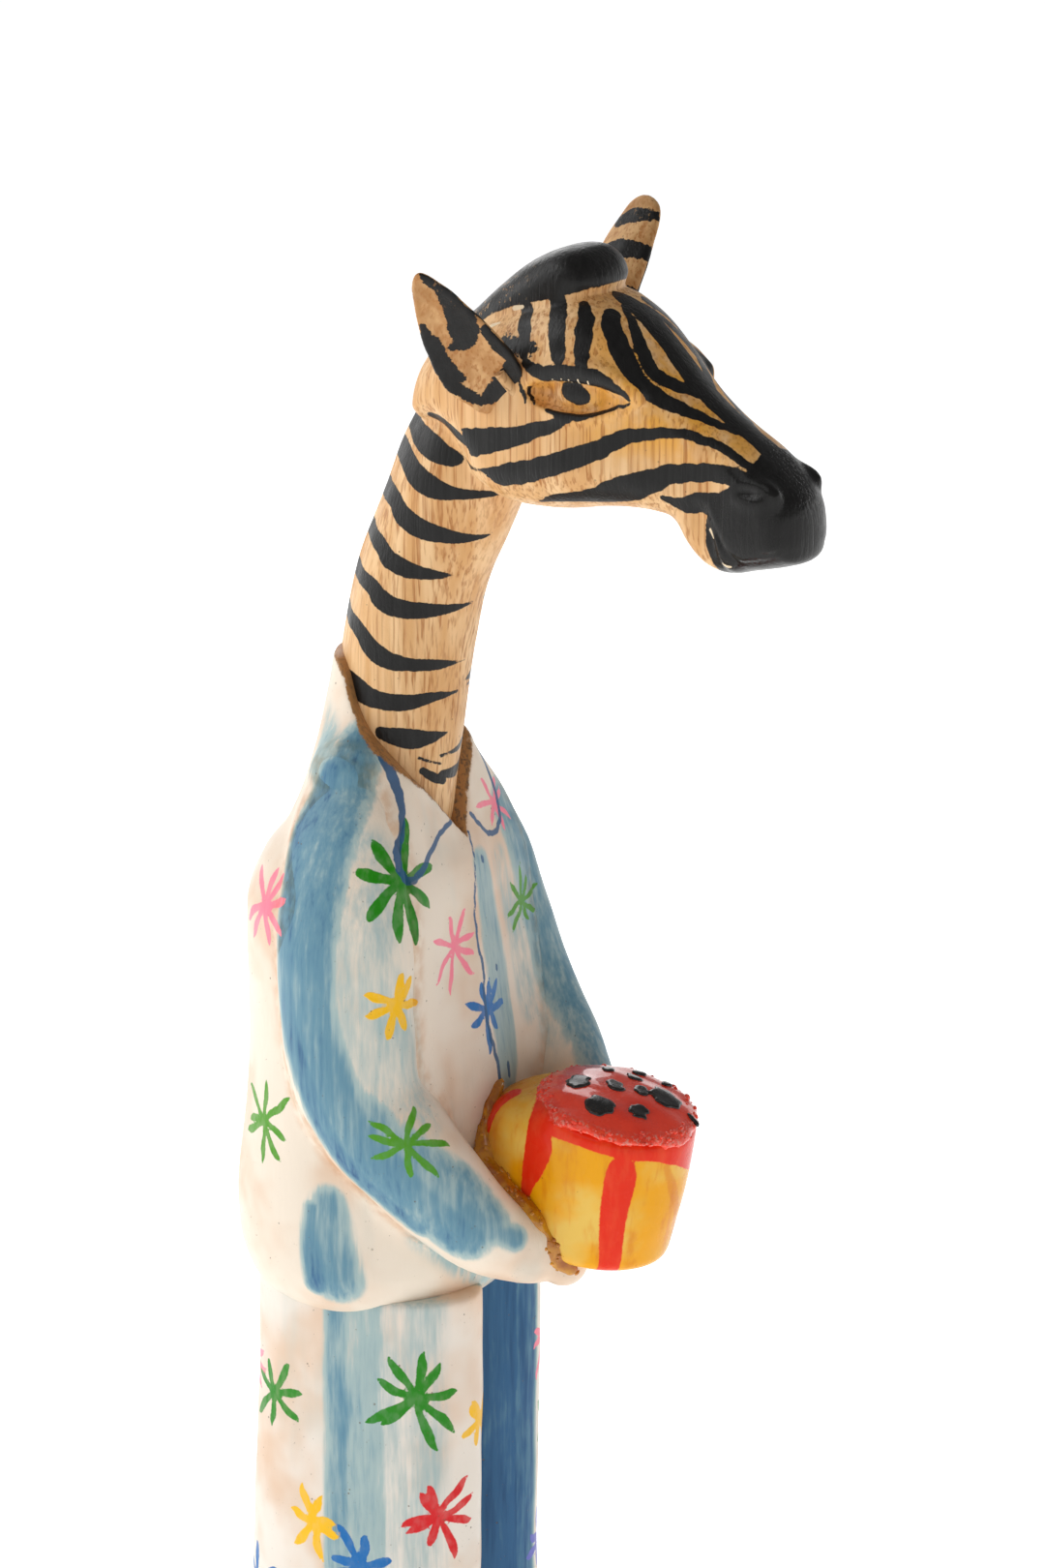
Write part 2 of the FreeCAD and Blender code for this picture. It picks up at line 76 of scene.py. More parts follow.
# --------------------------------------------------------------------------- numbers
def glide(knots: Sequence[float], values: Sequence[float], at: Array) -> Array:
    """Read a smooth curve that never swings past its own knots.

    Args:
        knots: Rising places where the values hold.
        values: One value for each knot.
        at: Places to read, held inside the first and last knot.

    Returns:
        The curve's values, shaped like `at`.
    """
    k = np.asarray(knots, dtype=np.float64)
    v = np.asarray(values, dtype=np.float64)
    rise = np.diff(v) / np.diff(k)
    slope = np.zeros_like(v)
    slope[0], slope[-1] = rise[0], rise[-1]
    for i in range(1, len(v) - 1):
        if rise[i - 1] * rise[i] > 0:
            slope[i] = 2.0 * rise[i - 1] * rise[i] / (rise[i - 1] + rise[i])
    where = np.clip(at, k[0], k[-1])
    i = np.clip(np.searchsorted(k, where, side="right") - 1, 0, len(k) - 2)
    width = k[i + 1] - k[i]
    t = (where - k[i]) / width
    t2, t3 = t * t, t * t * t
    start = (2 * t3 - 3 * t2 + 1) * v[i] + (t3 - 2 * t2 + t) * width * slope[i]
    end = (3 * t2 - 2 * t3) * v[i + 1] + (t3 - t2) * width * slope[i + 1]
    return start + end


def curve_through(points: Sequence[Sequence[float]], pieces: int = 6,
                  closed: bool = False) -> Array:
    """Resample a Catmull-Rom curve through rows of numbers.

    Args:
        points: The rows that the curve passes through.
        pieces: Steps between one row and the next.
        closed: Whether the last row leads back to the first.

    Returns:
        The resampled rows.
    """
    p = np.asarray(points, dtype=np.float64)
    if closed:
        p = np.vstack([p[-1], p, p[0], p[1]])
    else:
        p = np.vstack([2 * p[0] - p[1], p, 2 * p[-1] - p[-2]])
    t = (np.arange(pieces) / pieces)[:, None]
    rows = []
    for a, b, c, d in zip(p[:-3], p[1:-2], p[2:-1], p[3:]):
        rows.append(0.5 * (2 * b + (c - a) * t + (2 * a - 5 * b + 4 * c - d) * t**2
                           + (3 * b - a - 3 * c + d) * t**3))
    out = np.vstack(rows)
    return out if closed else np.vstack([out, p[-2]])


def soft_min(a: Array, b: Array, blend: float | Array) -> Array:
    """Join two fields with a fillet about `blend` wide."""
    h = np.clip(0.5 + 0.5 * (b - a) / blend, 0.0, 1.0)
    return b + (a - b) * h - blend * h * (1.0 - h)


def soft_max(a: Array, b: Array, blend: float | Array) -> Array:
    """Cut one field by another with a rounded edge."""
    return -soft_min(-a, -b, blend)


def ramp(value: Array, low: float, high: float) -> Array:
    """A smooth step from 0 at `low` to 1 at `high`."""
    t = np.clip((value - low) / (high - low), 0.0, 1.0)
    return t * t * (3.0 - 2.0 * t)


def oval(p: Array, q: Array, p_half: float | Array, q_half: float | Array) -> Array:
    """The approximate distance to an ellipse with the given half axes.

    Args:
        p, q: Places in the ellipse's plane, from its middle.
        p_half, q_half: The half axes.

    Returns:
        Distances, negative inside.
    """
    near = np.sqrt((p / p_half) ** 2 + (q / q_half) ** 2)
    far = np.sqrt((p / p_half**2) ** 2 + (q / q_half**2) ** 2)
    return near * (near - 1.0) / np.maximum(far, 1e-6)


def ball(x: Array, y: Array, z: Array, centre: Point, radii: Point) -> Array:
    """The approximate distance to an ellipsoid.

    Args:
        x, y, z: Places to measure.
        centre: The middle.
        radii: The three half axes.

    Returns:
        Distances, negative inside.
    """
    p = [(axis - c) for axis, c in zip((x, y, z), centre)]
    near = np.sqrt(sum((a / r) ** 2 for a, r in zip(p, radii)))
    far = np.sqrt(sum((a / r**2) ** 2 for a, r in zip(p, radii)))
    return near * (near - 1.0) / np.maximum(far, 1e-6)


def ripple(x: Array, y: Array, z: Array, length: float, seed: int) -> Array:
    """A gentle repeatable unevenness between -1 and 1, about `length` from hump to hump.

    Args:
        x, y, z: Places to shake.
        length: The usual spacing of the humps.
        seed: Which pattern to use.

    Returns:
        The unevenness at each place.
    """
    rng = np.random.default_rng(seed)
    total: Array | float = 0.0
    for _ in range(5):
        way = rng.normal(size=3)
        way = way / np.linalg.norm(way) * 2 * math.pi / (length * rng.uniform(0.7, 1.5))
        total = total + np.sin(x * way[0] + y * way[1] + z * way[2] + rng.uniform(0, 6.28))
    return total / 3.2


def outline_distance(p: Array, q: Array, outline: Array) -> Array:
    """The signed distance to a closed outline in a plane, negative inside.

    Args:
        p: First coordinate of each place.
        q: Second coordinate of each place.
        outline: Rows of (first, second) round the outline.

    Returns:
        Distances shaped like `p` and `q` together.
    """
    p, q = np.broadcast_arrays(p, q)
    best = np.full(p.shape, 1e9)
    inside = np.zeros(p.shape, dtype=bool)
    for (ax, ay), (bx, by) in zip(outline, np.roll(outline, -1, axis=0)):
        ex, ey = bx - ax, by - ay
        t = np.clip(((p - ax) * ex + (q - ay) * ey) / max(ex * ex + ey * ey, 1e-9), 0, 1)
        best = np.minimum(best, (p - ax - ex * t) ** 2 + (q - ay - ey * t) ** 2)
        if ay != by:
            crosses = ((ay > q) != (by > q)) & (p < ex * (q - ay) / ey + ax)
            inside ^= crosses
    distance = np.sqrt(best)
    return np.where(inside, -distance, distance)


def along_path(p: Array, q: Array, path: Array) -> tuple[Array, Array]:
    """Find the nearest place on an open path in a plane.

    Args:
        p: First coordinate of each place.
        q: Second coordinate of each place.
        path: Rows of (first, second) along the path.

    Returns:
        How far along the path, in rows, and how far from it.
    """
    p, q = np.broadcast_arrays(p, q)
    best = np.full(p.shape, 1e9)
    place = np.zeros(p.shape)
    for i, ((ax, ay), (bx, by)) in enumerate(zip(path[:-1], path[1:])):
        ex, ey = bx - ax, by - ay
        t = np.clip(((p - ax) * ex + (q - ay) * ey) / max(ex * ex + ey * ey, 1e-9), 0, 1)
        gap = (p - ax - ex * t) ** 2 + (q - ay - ey * t) ** 2
        nearer = gap < best
        best = np.where(nearer, gap, best)
        place = np.where(nearer, i + t, place)
    return place, np.sqrt(best)


def rope(x: Array, y: Array, z: Array, path: Array) -> Array:
    """The distance to a rope of uneven thickness.

    Args:
        x: First coordinate of each place.
        y: Second coordinate of each place.
        z: Third coordinate of each place.
        path: Rows of x, y, z and radius along the rope.

    Returns:
        Distances, negative inside the rope.
    """
    best: Array | float = 1e9
    for a, b in zip(path[:-1], path[1:]):
        e = b[:3] - a[:3]
        t = np.clip(((x - a[0]) * e[0] + (y - a[1]) * e[1] + (z - a[2]) * e[2]) / (e @ e), 0, 1)
        gap = np.sqrt(sum((w - a[i] - t * e[i]) ** 2 for i, w in enumerate((x, y, z))))
        best = np.minimum(best, gap - (a[3] + (b[3] - a[3]) * t))
    return best


# --------------------------------------------------------------------------- carving
@dataclass
class Block:
    """A block of sample points that a shape is carved from."""

    low: Point
    high: Point
    step: float

    def axes(self) -> tuple[Array, Array, Array]:
        """The three coordinates, ready to broadcast against each other."""
        lines = [np.arange(a, b + self.step, self.step) for a, b in zip(self.low, self.high)]
        return lines[0][:, None, None], lines[1][None, :, None], lines[2][None, None, :]

    def skin(self, distances: Array, smoothing: int = 2) -> tuple[Array, Array]:
        """Wrap the zero surface of a field.

        Args:
            distances: The field at every sample point.
            smoothing: How many times the skin's points are eased.

        Returns:
            The points in millimetres, and rows of four point numbers.
        """
        grid = openvdb.FloatGrid(FAR)
        grid.copyFromArray(np.ascontiguousarray(np.clip(distances, -FAR, FAR), dtype=np.float32))
        points, quads = grid.convertToQuads(0.0)
        points = points.astype(np.float64) * self.step + np.asarray(self.low)
        quads = quads.astype(np.int64)
        for _ in range(smoothing):
            points = ease(points, quads, 0.5)
        return points, quads


def ease(points: Array, quads: Array, amount: float) -> Array:
    """Move each point part of the way to the middle of its neighbours.

    Args:
        points, quads: The skin.
        amount: The share of the way to move.

    Returns:
        The moved points.
    """
    total = np.zeros_like(points)
    count = np.zeros(len(points))
    for i in range(4):
        here, there = quads[:, i], quads[:, (i + 1) % 4]
        for start, end in ((here, there), (there, here)):
            for axis in range(3):
                total[:, axis] += np.bincount(start, points[end, axis], len(points))
            count += np.bincount(start, minlength=len(points))
    return points + (total / np.maximum(count, 1)[:, None] - points) * amount


@dataclass
class Stroke:
    """A brush stroke: rows of x, y, z and half width, all in millimetres."""

    rows: Sequence[Sequence[float]]
    pieces: int = 5

    def mirrored(self, slip: float = 0.0) -> "Stroke":
        """The same stroke on the other side, slid a little up its piece."""
        return Stroke([(-x, y, z + slip, w) for x, y, z, w in self.rows], self.pieces)

    def path(self) -> Array:
        """The stroke's rows, with a curve through them where there are three or more."""
        if len(self.rows) > 2:
            return curve_through(self.rows, self.pieces)
        return np.asarray(self.rows, dtype=np.float64)

    def distance(self, points: Array, reach: float = FAR) -> Array:
        """The distance from each point to the stroke's edge, negative under the paint.

        Args:
            points: Rows of x, y, z.
            reach: The largest distance worth telling apart.

        Returns:
            One distance for each point.
        """
        path = self.path()
        widest = path[:, 3].max() + reach
        low, high = path[:, :3].min(0) - widest, path[:, :3].max(0) + widest
        chosen = np.nonzero(((points > low) & (points < high)).all(1))[0]
        out = np.full(len(points), reach)
        if not len(chosen):
            return out
        p = points[chosen]
        best = np.full(len(p), reach)
        for a, b in zip(path[:-1], path[1:]):
            e = b[:3] - a[:3]
            t = np.clip((p - a[:3]) @ e / max(e @ e, 1e-9), 0, 1)
            gap = np.linalg.norm(p - a[:3] - t[:, None] * e, axis=1) - (a[3] + (b[3] - a[3]) * t)
            best = np.minimum(best, gap)
        out[chosen] = best
        return out


def painted(points: Array, strokes: Iterable[Stroke]) -> Array:
    """The distance from each point to the nearest of several strokes.

    Args:
        points: Rows of x, y, z.
        strokes: The strokes to measure from.

    Returns:
        One distance for each point.
    """
    best = np.full(len(points), FAR)
    for stroke in strokes:
        best = np.minimum(best, stroke.distance(points))
    return best


# --------------------------------------------------------------------------- placing
def figure_foot() -> Array:
    """The foot of the trouser axis in the object's frame, in millimetres."""
    low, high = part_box("leg_dowels")
    return np.array([(low[0] + high[0]) / 2 / MM, (low[1] + high[1]) / 2 / MM, 0.0])


FOOT = figure_foot()


def new_object(name: str, data: bpy.types.ID) -> Thing:
    """Put a new object in the scene, at the origin.

    Args:
        name: The object's name.
        data: Its mesh, lamp or camera.

    Returns:
        The new object.
    """
    thing = bpy.data.objects.new(name, data)
    bpy.context.scene.collection.objects.link(thing)
    return thing


def build_object(name: str, points: Array, quads: Array,
                 marks: dict[str, Array] | None = None) -> Thing:
    """Make a mesh object from millimetre points measured from the trouser axis.

    Args:
        name: The object's name.
        points: Rows of x, y, z.
        quads: Rows of four point numbers.
        marks: Named numbers or colours to store on the points.

    Returns:
        The new object, smooth shaded, at the origin.
    """
    mesh = bpy.data.meshes.new(name)
    mesh.vertices.add(len(points))
    mesh.vertices.foreach_set("co", ((points + FOOT) * MM).ravel())
    mesh.loops.add(quads.size)
    mesh.loops.foreach_set("vertex_index", quads.ravel())
    mesh.polygons.add(len(quads))
    mesh.polygons.foreach_set("loop_start", np.arange(0, quads.size, quads.shape[1]))
    mesh.update(calc_edges=True)
    face_outwards(mesh)
    for label, numbers in (marks or {}).items():
        if numbers.ndim == 2:
            colours = np.hstack([numbers, np.ones((len(numbers), 1))])
            stored = mesh.attributes.new(label, "FLOAT_COLOR", "POINT")
            stored.data.foreach_set("color", colours.ravel())
        else:
            stored = mesh.attributes.new(label, "FLOAT", "POINT")
            stored.data.foreach_set("value", numbers.astype(np.float32))
    mesh.shade_smooth()
    return new_object(name, mesh)


def face_outwards(mesh: bpy.types.Mesh) -> None:
    """Turn every face of a closed mesh outwards.

    Args:
        mesh: The mesh to turn in place.
    """
    work = bmesh.new()
    work.from_mesh(mesh)
    if work.calc_volume(signed=True) < 0:
        bmesh.ops.reverse_faces(work, faces=work.faces)
        work.to_mesh(mesh)
    work.free()


def hand_in(thing: Thing, node: str, finish: Material) -> Thing:
    """Dress a piece, tie it to the body and let it stand for its node.

    Args:
        thing: The piece.
        node: The solid it stands for.
        finish: Its material.

    Returns:
        The same piece.
    """
    thing.data.materials.clear()
    thing.data.materials.append(finish)
    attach(thing, ROOT)
    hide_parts(node)
    faces = sum(len(p.vertices) - 2 for p in thing.data.polygons)
    log.info("%-24s %7d triangles, finish %s", thing.name, faces, finish.name)
    return thing


# --------------------------------------------------------------------------- jacket
class Side(Enum):
    """The figure's own right and left, with the sign of X on that side."""

    RIGHT = -1
    LEFT = 1


@dataclass
class Sleeve:
    """One bent arm: its course in the YZ plane and its oval section along it."""

    side: Side
    rows: Sequence[Sequence[float]]
    step: float = 0.85

    def course(self) -> Array:
        """The arm's course as rows of out, y, z, half thickness, half breadth."""
        return curve_through(self.rows, 6)

    def field(self, x: Array, y: Array, z: Array) -> Array:
        """The distance to the arm's skin.

        Args:
            x, y, z: Places in the figure's frame.

        Returns:
            Distances, negative inside.
        """
        course = self.course()
        place, gap = along_path(y, z, course[:, 1:3])
        count = np.arange(len(course))
        out, thick, broad = (np.interp(place, count, course[:, i]) for i in (0, 3, 4))
        return oval(self.side.value * x - out, gap, thick, broad)

    def carve(self) -> tuple[Array, Array]:
        """Carve the arm with a little hand-made unevenness.

        Returns:
            The points in millimetres, and rows of four point numbers.
        """
        reach = 56 * self.side.value
        inner = 4 * self.side.value
        block = Block((min(inner, reach), -78, 222), (max(inner, reach), 26, 382), self.step)
        x, y, z = block.axes()
        shape = self.field(x, y, z) + 0.25 * ripple(x, y, z, 26, 5)
        return block.skin(shape)


RIGHT_SLEEVE = Sleeve(Side.RIGHT, (
    (25, 2, 369, 7, 10), (31, 0, 356, 10.5, 16), (37, -3, 333, 13, 20), (39, -4, 308, 13.5, 20),
    (39.5, -8, 284, 13.5, 19), (37, -24, 264, 13, 16.5), (31, -40, 246, 11.5, 13),
    (22, -51, 237, 9.5, 10), (14, -58, 233, 7, 7)))
LEFT_SLEEVE = Sleeve(Side.LEFT, (
    (25, 2, 366, 7, 10), (31, 0, 352, 10.5, 15), (37, -4.5, 332, 13, 18.5),
                                 (39, -9.5, 309, 13.5, 20),
    (39, -18, 290, 13.5, 19), (36, -31, 273, 13, 17), (31, -43, 260, 11.5, 13.5),
    (24, -53, 250, 10, 11), (17, -60, 245, 6.5, 7)))


@dataclass
class Torso:
    """The jacket's block: level ovals from hem to collar, open in a V at the neck."""

    height: tuple = (214, 221, 230, 242, 271, 300, 330, 342, 353, 367, 383, 398, 412)
    half_x: tuple = (37, 42.5, 45.4, 46, 44, 42.5, 43, 39.5, 34, 27, 22, 20.2, 20)
    half_y: tuple = (33, 38.2, 40.6, 41, 38, 35.5, 33.5, 30.5, 24.5, 20.2, 18.7, 18, 18)
    offset: tuple = (4.9, 4.9, 4.9, 4.9, 4.5, 5.5, 7.3, 6, 4, 3, 0.8, -1.5, -3)
    hem: float = 214.3
    neckline_angle: tuple = (0, 14, 29, 59, 85, 99, 111, 130, 180)
    neckline_height: tuple = (349.5, 355.5, 361.6, 373, 383, 390.5, 397, 400, 401)
    raw_edge: float = 0.6
    step: float = 0.9

    def field(self, x: Array, y: Array, z: Array) -> Array:
        """The distance to the torso alone."""
        a, b, c = (glide(self.height, v, z) for v in (self.half_x, self.half_y, self.offset))
        return oval(x, y - c, a, b)

    def above_neckline(self, x: Array, y: Array, z: Array) -> Array:
        """How far a place lies above the neckline, negative under it."""
        angle = np.degrees(np.arctan2(np.abs(x), -(y - 1.0)))
        return (z - glide(self.neckline_angle, self.neckline_height, angle)) * 0.75

    def with_sleeves(self, x: Array, y: Array, z: Array, sleeves: Sequence[Sleeve]) -> Array:
        """The torso run into both sleeves: soft in front, creased behind and below.

        Args:
            x, y, z: Places in the figure's frame.
            sleeves: Both arms.

        Returns:
            Distances, negative inside.
        """
        body = self.field(x, y, z)
        front = ramp(-y, 2.0, 16.0) * (0.25 + 0.75 * ramp(z, 262.0, 296.0))
        blend = 2.2 + np.maximum(19.0 * front, 8.0 * ramp(z, 338.0, 366.0))
        for sleeve in sleeves:
            body = soft_min(body, sleeve.field(x, y, z), blend)
        return body

    def skin_field(self, x: Array, y: Array, z: Array, sleeves: Sequence[Sleeve]) -> Array:
        """The jacket's skin, sunk a little wherever a sleeve covers it.

        Args:
            x, y, z: Places in the figure's frame.
            sleeves: Both arms.

        Returns:
            Distances, negative inside.
        """
        alone = self.field(x, y, z)
        joined = self.with_sleeves(x, y, z, sleeves) + 1.2 * ramp(alone, 4.0, 9.0)
        return np.maximum(joined, alone - 9.5) + 0.3 * ripple(x, y, z, 30, 11)

    def carve(self, sleeves: Sequence[Sleeve]) -> tuple[Array, Array]:
        """Carve the jacket with its rounded hem and its open neck.

        Args:
            sleeves: Both arms.

        Returns:
            The points in millimetres, and rows of four point numbers.
        """
        block = Block((-60, -50, 208), (60, 52, 406), self.step)
        x, y, z = block.axes()
        joined = self.skin_field(x, y, z, sleeves)
        joined = soft_max(joined, self.hem - z + 0.35 * ripple(x, y, z, 40, 3), 3.0)
        joined = soft_max(joined, self.above_neckline(x, y, z), 0.8)
        return block.skin(joined)


# --------------------------------------------------------------------------- trousers
@dataclass
class TrouserLeg:
    """One straight trouser leg, slightly flared to its cuff."""

    side: Side
    spacing: float = 39.2
    height: tuple = (20, 60, 115, 200, 222)
    half_x: tuple = (20, 19.6, 19.5, 19.5, 19.3)
    half_y: tuple = (36.8, 36.4, 35.9, 34.4, 34.2)
    offset: tuple = (2.9, 2.9, 2.7, 0.2, 0)
    cuff: float = 19.0
    top: float = 221.0
    step: float = 1.0

    def field(self, x: Array, y: Array, z: Array) -> Array:
        """The distance to the leg's skin."""
        a, b, c = (glide(self.height, v, z) for v in (self.half_x, self.half_y, self.offset))
        return oval(x - self.side.value * self.spacing / 2, y - c, a, b)

    def carve(self) -> tuple[Array, Array]:
        """Carve the leg with a soft cuff that stands over the shoe.

        Returns:
            The points in millimetres, and rows of four point numbers.
        """
        middle = self.side.value * self.spacing / 2
        block = Block((middle - 24, -40, 14), (middle + 24, 46, 225), self.step)
        x, y, z = block.axes()
        leg = self.field(x, y, z) + 0.3 * ripple(x, y, z, 34, 21 + self.side.value)
        fold = np.exp(-((z - 33.0) / 1.6) ** 2)
        leg = soft_max(leg + 0.6 * fold, self.cuff - z, 2.0)
        leg = np.maximum(leg, z - self.top)
        return block.skin(leg)


@dataclass
class Shoe:
    """One plain rounded black shoe, mostly hidden by its cuff."""

    side: Side
    spacing: float = 39.2
    length: float = 31.0
    width: float = 18.7
    tall: float = 20.0
    forward: float = 0.1
    step: float = 0.8

    def carve(self) -> tuple[Array, Array]:
        """Carve the shoe with a flat sole and a domed toe.

        Returns:
            The points in millimetres, and rows of four point numbers.
        """
        middle = self.side.value * self.spacing / 2
        block = Block((middle - 21, -34, -1), (middle + 21, 34, 23), self.step)
        x, y, z = block.axes()
        upper = ball(x, y, z, (middle, -self.forward, 3.0),
                     (self.width, self.length, self.tall - 3.0))
        wall = oval(x - middle, y + self.forward, self.width, self.length)
        shoe = soft_max(np.minimum(upper, wall + 0.0 * z), wall, 2.0)
        shoe = soft_max(shoe, z - self.tall + 0.1 * (y < -24), 3.0)
        welt = np.exp(-((z - 4.5) / 0.9) ** 2)
        shoe = soft_max(shoe + 0.7 * welt, 0.4 - z, 0.8)
        return block.skin(shoe)


# --------------------------------------------------------------------------- head
@dataclass
class PlaneTable:
    """A field worked out once over forward and height, then read on the turned head."""

    start: float
    step: float
    rows: Array

    def at(self, forward: Array) -> Array:
        """Read the table at each forward distance, for every height.

        Args:
            forward: Forward distances, with one height each.

        Returns:
            The field at every forward distance and height.
        """
        place = np.clip((forward[..., 0] - self.start) / self.step, 0, len(self.rows) - 1.001)
        i = place.astype(int)
        part = (place - i)[..., None]
        return self.rows[i] * (1 - part) + self.rows[i + 1] * part


@dataclass
class HeadTurn:
    """The head's own frame: turned about an upright axis through the neck."""

    pivot_y: float = -15.0
    yaw: float = 10.0

    def local(self, x: Array, y: Array) -> tuple[Array, Array]:
        """Change figure places into (toward the figure's left, forward) on the head.

        Args:
            x, y: Places in the figure's frame.

        Returns:
            How far across and how far forward they lie on the head.
        """
        a = math.radians(self.yaw)
        across = x * math.cos(a) - (y - self.pivot_y) * math.sin(a)
        forward = -(x * math.sin(a) + (y - self.pivot_y) * math.cos(a))
        return across, forward

    def figure(self, points: Array) -> Array:
        """Change rows of (across, forward, height) on the head into figure places.

        Args:
            points: Rows of across, forward and height.

        Returns:
            Rows of x, y, z.
        """
        a = math.radians(self.yaw)
        across, forward = points[:, 0], points[:, 1]
        x = across * math.cos(a) - forward * math.sin(a)
        y = self.pivot_y - across * math.sin(a) - forward * math.cos(a)
        return np.column_stack([x, y, points[:, 2]])


TURN = HeadTurn()


@dataclass
class Head:
    """The zebra's head and neck, carved from one block."""

    profile: tuple = (
        (-4, 472), (-1.5, 482), (5, 490.5), (15, 497.5), (26, 502), (36, 506), (45, 508.3),
                      (53.5, 508.3),
        (59.5, 506), (65.3, 502.6), (71, 498), (76.5, 492.8), (82, 487.6), (88.7, 482.4),
                      (96.3, 477.4),
        (102.8, 473.3), (108.4, 469.2), (113.2, 464.6), (116.2, 459.9), (117.4, 455), (117.6, 449),
        (116.5, 445.4), (113, 443.6), (104, 441), (95.5, 438.8), (90, 439.8), (86, 442.4),
                      (82.3, 446.6), (79.5, 451), (76, 452.6), (69.2, 453), (58.9, 452.1),
        (45.3, 449.8), (33, 449.3),
                      (25.6, 451), (18.5, 455.5), (14, 462), (8, 467), (1, 467))
    width_at: tuple = (-8, 5, 20, 35, 50, 60, 72, 84, 95, 104, 112, 118)
    width: tuple = (15, 18.5, 20.5, 22, 22.3, 21, 17.6, 14, 12.6, 13.2, 13, 12)
    round_at: tuple = (-8, 30, 60, 76, 90, 104, 118)
    rounding: tuple = (12, 14, 15, 12, 9.5, 9, 8)
    squareness: float = 2.35
    bridge_at: tuple = (56, 64, 74, 86, 98, 106)
    bridge_slope: tuple = (0, 0.24, 0.36, 0.36, 0.22, 0)
    forelock: tuple = (
        (8, 489), (9, 495), (16.2, 501.6), (23.1, 507.4), (31.5, 513.8), (38, 517.4), (44, 519.3),
                       (49, 519.2),
        (53, 516.6), (55.3, 512.5), (54.8, 509), (50, 500), (38, 492), (20, 486))
    neck: tuple = (
        (2.4, 340, 17.2), (0.4, 368, 17.8), (-2.8, 392, 17.8), (-5.2, 406, 17.7), (-8.6, 421, 17.4),
        (-12.6, 432, 17), (-17, 442, 17.2), (-22, 454, 17.4), (-28, 468, 16))
    mane_depth: float = 2.2
    lip_at: tuple = (88, 94.5, 98, 103, 110, 118)
    lip: tuple = (462, 453, 447.6, 445.4, 447.2, 450.5)
    chin_at: tuple = (436, 445, 453, 460)
    chin: tuple = (99, 96.5, 94, 90)
    lock_at: tuple = (5, 20, 38, 52, 58)
    lock_width: tuple = (9, 12.5, 14.2, 13.4, 12)
    lock_rounding: float = 9.0
    eye: Point = (20.6, 57.5, 484.6)
    socket: Point = (5.4, 14.5, 4.1)
    lens: Point = (4.6, 8.8, 5.2)
    mouth: tuple = (
        (6, 118.5, 451), (11, 115, 449.4), (12.6, 109, 447.4), (12.8, 103, 445.5),
                    (12.8, 98.6, 447.4),
        (12.7, 95, 453), (12.6, 91.5, 458.5))
    nostril: Point = (14.2, 106.0, 463.8)
    neck_end: float = 345.0
    table_start: float = -30.0
    table_end: float = 126.0
    table_step: float = 0.8
    step: float = 0.7

    def flat_tables(self, z: Array) -> tuple[PlaneTable, PlaneTable, PlaneTable]:
        """Work out the head's and the forelock's outlines and the half width.

        Args:
            z: The block's heights.

        Returns:
            Tables of the skull's edge, the forelock's edge and the half width.
        """
        forward = np.arange(self.table_start, self.table_end, self.table_step)[:, None]
        height = z.reshape(1, -1)
        skull = outline_distance(forward, height, curve_through(self.profile, 5, closed=True))
        lock = outline_distance(forward, height, curve_through(self.forelock, 5, closed=True))
        width = glide(self.width_at, self.width, forward) + 0.0 * height
        width = width - 2.2 * ramp(height, 486.0, 506.0) * ramp(-forward, -70.0, -40.0)
        lip = np.interp(forward, self.lip_at, self.lip)
        width = width - 1.1 * ramp(lip - height, -0.2, 0.7) * ramp(forward, 99.0, 101.0)
        chin = np.interp(height, self.chin_at, self.chin)
        under = ramp(chin - forward, -0.3, 0.8) * ramp(forward, 74.0, 80.0)
        width = width - 1.4 * under * ramp(-height, -461.0, -456.0)
        return tuple(PlaneTable(self.table_start, self.table_step,
                                rows) for rows in (skull, lock, width))

    def inflate(self, edge: Array, across: Array, width: Array, rounding: float | Array) -> Array:
        """Swell a side outline to the given half width with rounded edges.

        Args:
            edge: Distance from the side outline.
            across: Distance from the middle plane.
            width: The half width.
            rounding: How far the edge is rounded.

        Returns:
            Distances, negative inside.
        """
        p = self.squareness
        side = np.abs(across) / width
        rim = np.clip(1.0 + edge / rounding, 0.0, None)
        size = (side**p + rim**p) ** (1 / p)
        pull = np.sqrt((side ** (p - 1) / width) ** 2 + (rim ** (p - 1) / rounding) ** 2)
        return (size - 1.0) / np.maximum(size ** (1 - p) * pull, 0.02)

    def ridge_line(self) -> tuple[Array, Array]:
        """The profile's upper edge from the poll to the nose."""
        upper = curve_through(self.profile[:18], 4)
        return upper[:, 0], upper[:, 1]

    def neck_field(self, x: Array, y: Array, z: Array) -> Array:
        """The neck's tube, with the mane's low crest along its back.

        Args:
            x, y, z: Places in the figure's frame.

        Returns:
            Distances, negative inside.
        """
        course = curve_through(self.neck, 6)
        place, gap = along_path(y, z, course[:, :2])
        count = np.arange(len(course))
        radius = np.interp(place, count, course[:, 2])
        middle = np.interp(place, count, course[:, 0])
        tube = np.sqrt(x**2 + gap**2) - radius
        behind = ramp(y - middle, 4.0, 14.0)
        crest = self.mane_depth * np.exp(-((x / 4.6) ** 2)) * behind
        return tube - crest

